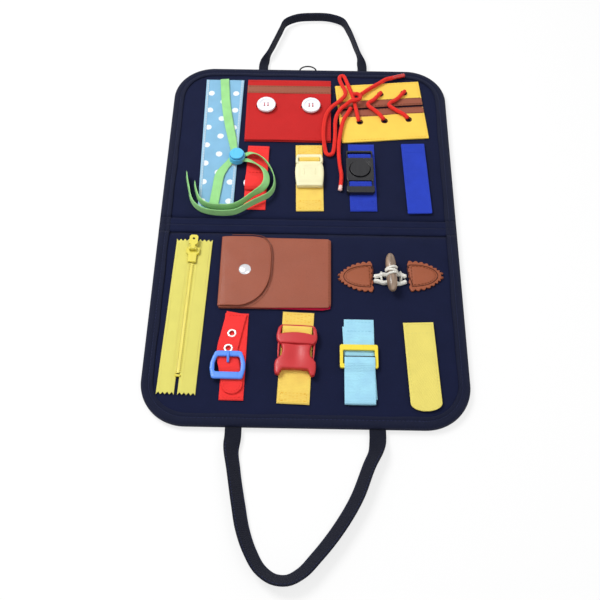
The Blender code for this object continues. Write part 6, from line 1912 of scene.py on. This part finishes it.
def make_belt():
    """Belt, its tongue with eyelets, and the buckle's frame and pin"""
    turn = TURNS["belt"]
    spot = Spot("belt_strap", turn)
    under = strap("belt_web", spot, "red_web", "lower_panel", ["belt_strap"], WEBBING)
    laid(under)
    z = spot.high - SINK
    lines = [spot.line_across(STITCH_END, -spot.half_y + 0.0025, z)]
    tongue = Spot("belt_tongue", turn)
    frame_spot = Spot("belt_buckle", turn)
    top = spot.half_y - 0.0003
    knee = top - TONGUE_KNEE_SHARE * TONGUE_LENGTH
    end = top - TONGUE_LENGTH + TONGUE_WIDTH / 2
    bends = [(0, top, 0), (-TONGUE_LEAN * 0.55, (top + knee) / 2 + 0.001, 0), (-TONGUE_LEAN, knee, 0),
             (-TONGUE_LEAN * 0.5, (knee + end) / 2, 0), (0, end, 0)]
    path = smooth_route(bends, 0.002)
    ways = np.gradient(path[:, :2], axis=0)
    ways = ways / np.linalg.norm(ways, axis=1)[:, None]
    half = TONGUE_WIDTH / 2

    def ring(offset, first=0, steps=16):
        start = math.atan2(ways[-1][0], -ways[-1][1])
        tip = [(path[-1][0] + offset * math.cos(start - math.pi * k / steps),
                path[-1][1] + offset * math.sin(start - math.pi * k / steps)) for k in range(1, steps)]
        sides = [[(float(x - s * way[1] * offset), float(y + s * way[0] * offset))
                  for (x, y, _), way in zip(path[first:], ways[first:])] for s in (1, -1)]
        return sides[0] + [tuple(map(float, place)) for place in tip] + sides[1][::-1]

    hump = (frame_spot.middle - spot.middle).dot(spot.along) - 0.0004

    def humped(x, y, face):
        return UP * (0.0011 * math.exp(-((y - hump) / 0.0042) ** 4) + 0.0001 * math.sin(y * 110 + 0.2))

    lean_share = TONGUE_LEAN / (top - knee)
    places = []
    for count in range(2):
        down = EYELET_FIRST + count * EYELET_PITCH
        places.append((-lean_share * down, top - down))
    holes = [round_hole(EYELET_RADIUS, x, y, 20) for x, y in places]
    piece = cut_piece("belt_tongue_web", spot, ring(half), tongue.low, tongue.high, "red_web", "lower_panel",
                      ["belt_tongue"], holes, humped, 0.0018)
    laid(piece)
    z = tongue.high - 0.00003
    around = ring(half - 0.0018, 1, 10)
    tip_start = [k for k, (x, y) in enumerate(around) if y < hump - 0.007]
    lines.append([spot.at(*around[k], z) for k in tip_start])
    lines.append([spot.at(-half + 0.002, top - 0.003, z), spot.at(half - 0.002, top - 0.003, z)])
    stitches("belt_stitches", lines, "red_thread", "lower_panel")
    for count, (x, y) in enumerate(places):
        profile = [(0.0021, -0.0008), (0.0021, 0.0), (0.0024, 0.00036), (0.0029, 0.00052), (0.0034, 0.00044),
                   (0.0038, 0.00016), (0.00385, -0.0001), (0.0021, -0.0008)]
        turned("belt_eyelet_" + str(count), profile, spot.at(x, y, tongue.high), "metal_eyelet",
               "lower_panel", steps=36)
    low = tongue.high + GAP
    high = low + 0.0027
    far = frame_spot.half_y - 0.0004
    right = [(0.0085, far), (0.0108, far - 0.0008), (0.0126, far - 0.0050), (0.0142, 0.0015),
             (0.0143, -0.0035), (0.0134, -far + 0.0040), (0.0124, -far + 0.0006), (0.0108, -far)]
    window = [(0.0082, far - 0.0050), (0.0093, far - 0.0062), (0.0106, 0.0010), (0.0104, -far + 0.0072),
              (0.0094, -far + 0.0062)]
    cut_piece("belt_frame", frame_spot, both_sides(right), low, high, "blue", "belt_buckle", ["belt_buckle"],
              [both_sides(window)], None, 0.0012, 0.44, 0.0012)
    pin = [(0, far - 0.0016, high - 0.0002), (0, far - 0.0042, high + 0.0006),
           (0, far - 0.0075, high - 0.0003), (0, far - 0.0098, high - 0.0016)]
    tube("belt_pin", smooth_route([tuple(frame_spot.at(*place)) for place in pin], 0.0008), 0.0011, "blue",
         "belt_buckle")


def make_release_strap():
    """Yellow strap with the red side release buckle's socket and clip"""
    spot = Spot("release_strap", TURNS["release"])
    piece = strap("release_strap_web", spot, "yellow_web", "lower_panel", ["release_strap"],
                  WEBBING)
    laid(piece)
    strap_stitches("release_strap_stitches", spot, spot.high - SINK, "yellow_thread", "lower_panel",
                   deep=0.007)
    low, high = Spot("release_socket").low, Spot("release_socket").high
    mouth, gap = 0.0090, 0.0003
    waist = [(0.0126, mouth), (0.0116, 0.0060), (0.0112, 0.0022), (0.0118, -0.0012), (0.0144, -0.0040),
             (0.0164, -0.0062), (0.0168, -0.0100), (0.0166, -0.0146), (0.0158, -0.0176), (0.0138, -0.0184),
             (0.0122, -0.0174), (0.0113, -0.0146), (0.0104, -0.0132), (0.0050, -0.0128)]

    def dished(x, y, face):
        if face < 0:
            return Vector((0, 0, 0))
        hollow = math.exp(-(x / 0.0062) ** 2) * max(0.0, math.cos((y - 0.001) / 0.0165 * math.pi / 2))
        return UP * (-0.0015 * hollow - 0.0010 * (x / 0.0168) ** 4 - 0.0006 * max(0.0, -(y + 0.010) / 0.008))
    cut_piece("release_socket_body", spot, both_sides(waist), low, high, "red", "lower_panel",
              ["release_socket"], (), dished, 0.0012, 0.24, 0.0012)
    start, top = mouth + gap, 0.0277
    head = [(0.0118, top - 0.0004), (0.0144, top - 0.0016), (0.0157, top - 0.0042), (0.0163, top - 0.0080),
            (0.0168, top - 0.0115), (0.0164, top - 0.0150), (0.0146, start + 0.0010), (0.0132, start)]
    window = [(0.0126, top - 0.0030), (-0.0126, top - 0.0030), (-0.0134, top - 0.0098)]
    window += [(x * 0.0134, top - 0.0098 + 0.0016 * (1 - x * x)) for x in (-0.6, -0.3, 0.0, 0.3, 0.6)]
    window += [(0.0134, top - 0.0098)]

    def crowned(x, y, face):
        return UP * ((-0.0010 * (x / 0.0168) ** 2 - 0.0022 * max(0.0, (y - top + 0.006) / 0.006))
                     if face > 0 else 0)
    cut_piece("release_clip_head", spot, both_sides(head), low, high, "red", "release_clip", ["release_clip"],
              [window], crowned, 0.0012, 0.20, 0.0012)
    arm_low = low + 0.0006
    for word, side in (("left", -1), ("right", 1)):
        arm = [(0.0137, start + 0.0015), (0.0137, -0.0030), (0.0141, -0.0036), (0.0147, -0.0030),
               (0.0152, 0.0020), (0.0154, start + 0.0015)]
        cut_piece("release_arm_" + word, spot, [(side * x, y) for x, y in arm], arm_low, arm_low + 0.0020,
                  "red", "release_clip", (), pitch=0.003, rounding=0.3, longest=0.002)
    cut_piece("release_guide", spot, rectangle(0.0042, 0.0075, 0.001, (0, start - 0.0055)), arm_low + 0.0004,
              arm_low + 0.0030, "red", "release_clip", (), pitch=0.004)
    strap_bridge("release_strap_bridge", spot, top - 0.0022, top - 0.0096, 0.0121, high - 0.0012,
                 high - 0.0030, "yellow_web", "release_clip")


def make_slide_strap():
    """Light blue strap, folded over, with its yellow slide"""
    spot = Spot("slide_strap")
    slide = Spot("slide_buckle")
    half = spot.half_x
    low = spot.low
    far = spot.half_y
    tail = Spot("slide_strap")
    angle = math.radians(2.4)
    tail.across = Vector((math.cos(angle), math.sin(angle), 0))
    tail.along = Vector((-math.sin(angle), math.cos(angle), 0))
    rows = [(-far + 0.004, -half, half, low + 0.0003), (far - 0.0062, -half, half, low + 0.0003)]
    flat_band("slide_strap_tail", tail, rows, 0.0008, "sky_web", "lower_panel", (), 12,
              ripple(0.00008, 0.02))
    under = strap("slide_strap_under", spot, "sky_web", "lower_panel", (), WEBBING)
    first = low + WEBBING / 2 - SINK
    second = low + WEBBING + GAP + WEBBING / 2
    over = spot.high - WEBBING / 2
    bar = slide.middle.y - spot.middle.y
    turn_radius = (second - first) / 2
    rows = [(-far + turn_radius, first), (-far + turn_radius * 0.3, first + turn_radius * 0.3),
            (-far, first + turn_radius), (-far + turn_radius * 0.3, second - turn_radius * 0.3),
            (-far + turn_radius, second), (-far + 0.010, second + 0.0001),
            (bar - slide.half_y - 0.006, second),
            (bar - slide.half_y - 0.0025, second + 0.0004), (bar - slide.half_y - 0.0002, over - 0.0012),
            (bar - slide.half_y + 0.0025, over - 0.0001), (bar - 0.0030, over), (bar - 0.0012, over - 0.0003)]
    path = smooth_route([(y, 0, z) for y, z in rows], 0.0010)
    stations = [(spot.at(0, y, z), spot.across * half) for y, _, z in path]

    def ribbed(share, along, face, total):
        return UP * (0.00022 * math.sin(along * 900) * (1 - share ** 6) * math.exp(-(total - along) / 0.012))

    top = band("slide_strap_fold", stations, WEBBING, "sky_web", "lower_panel", ["slide_strap"],
               14, ribbed)
    laid(under)
    laid(top)
    z = low + WEBBING - SINK
    lines = [spot.line_across(STITCH_END, far - 0.0028, z),
             spot.line_across(STITCH_END, far - 0.011, z)]
    z = second + WEBBING / 2
    lines.append(spot.line_across(STITCH_END, -far + 0.0035, z))
    stitches("slide_strap_stitches", lines, "sky_thread", "lower_panel")
    moulded("slide_buckle", "yellow", "slide", 0.0006)
    # A dark navy strip painted in as the shade of the gap where the strap dips behind the slide's middle bar
    rows = [(bar - 0.0012, -half, half, over - 0.0002), (bar - 0.0003, -half, half, over - 0.0002)]
    flat_band("slide_gap_painted_shade", spot, rows, 0.0004, "handle", "slide", (), 8, step=0.0003)


make_camera()
make_world()
make_floor()
make_lamp("key_lamp", KEY_PLACE, KEY_POWER, KEY_SIZE)
make_lamp("fill_lamp", FILL_PLACE, FILL_POWER, FILL_SIZE)
make_drawstring()
make_lace()
make_cover("lower", -1)
make_cover("upper", 1)
make_bindings()
make_spine()
make_handles()
make_dotted_patch()
make_cord_lock()
make_button_patch()
make_lacing_patch()
make_ring_strap()
make_cream_strap()
make_blue_strap()
make_tab("blue_tab", "blue_tab", "blue_thread", "upper_panel")
make_zip()
make_wallet()
make_toggle()
make_belt()
make_release_strap()
make_slide_strap()
make_tab("yellow_tab", "yellow_tab", "pale_thread", "lower_panel", TAB_TIP)


bpy.context.scene.view_settings.view_transform = "Standard"
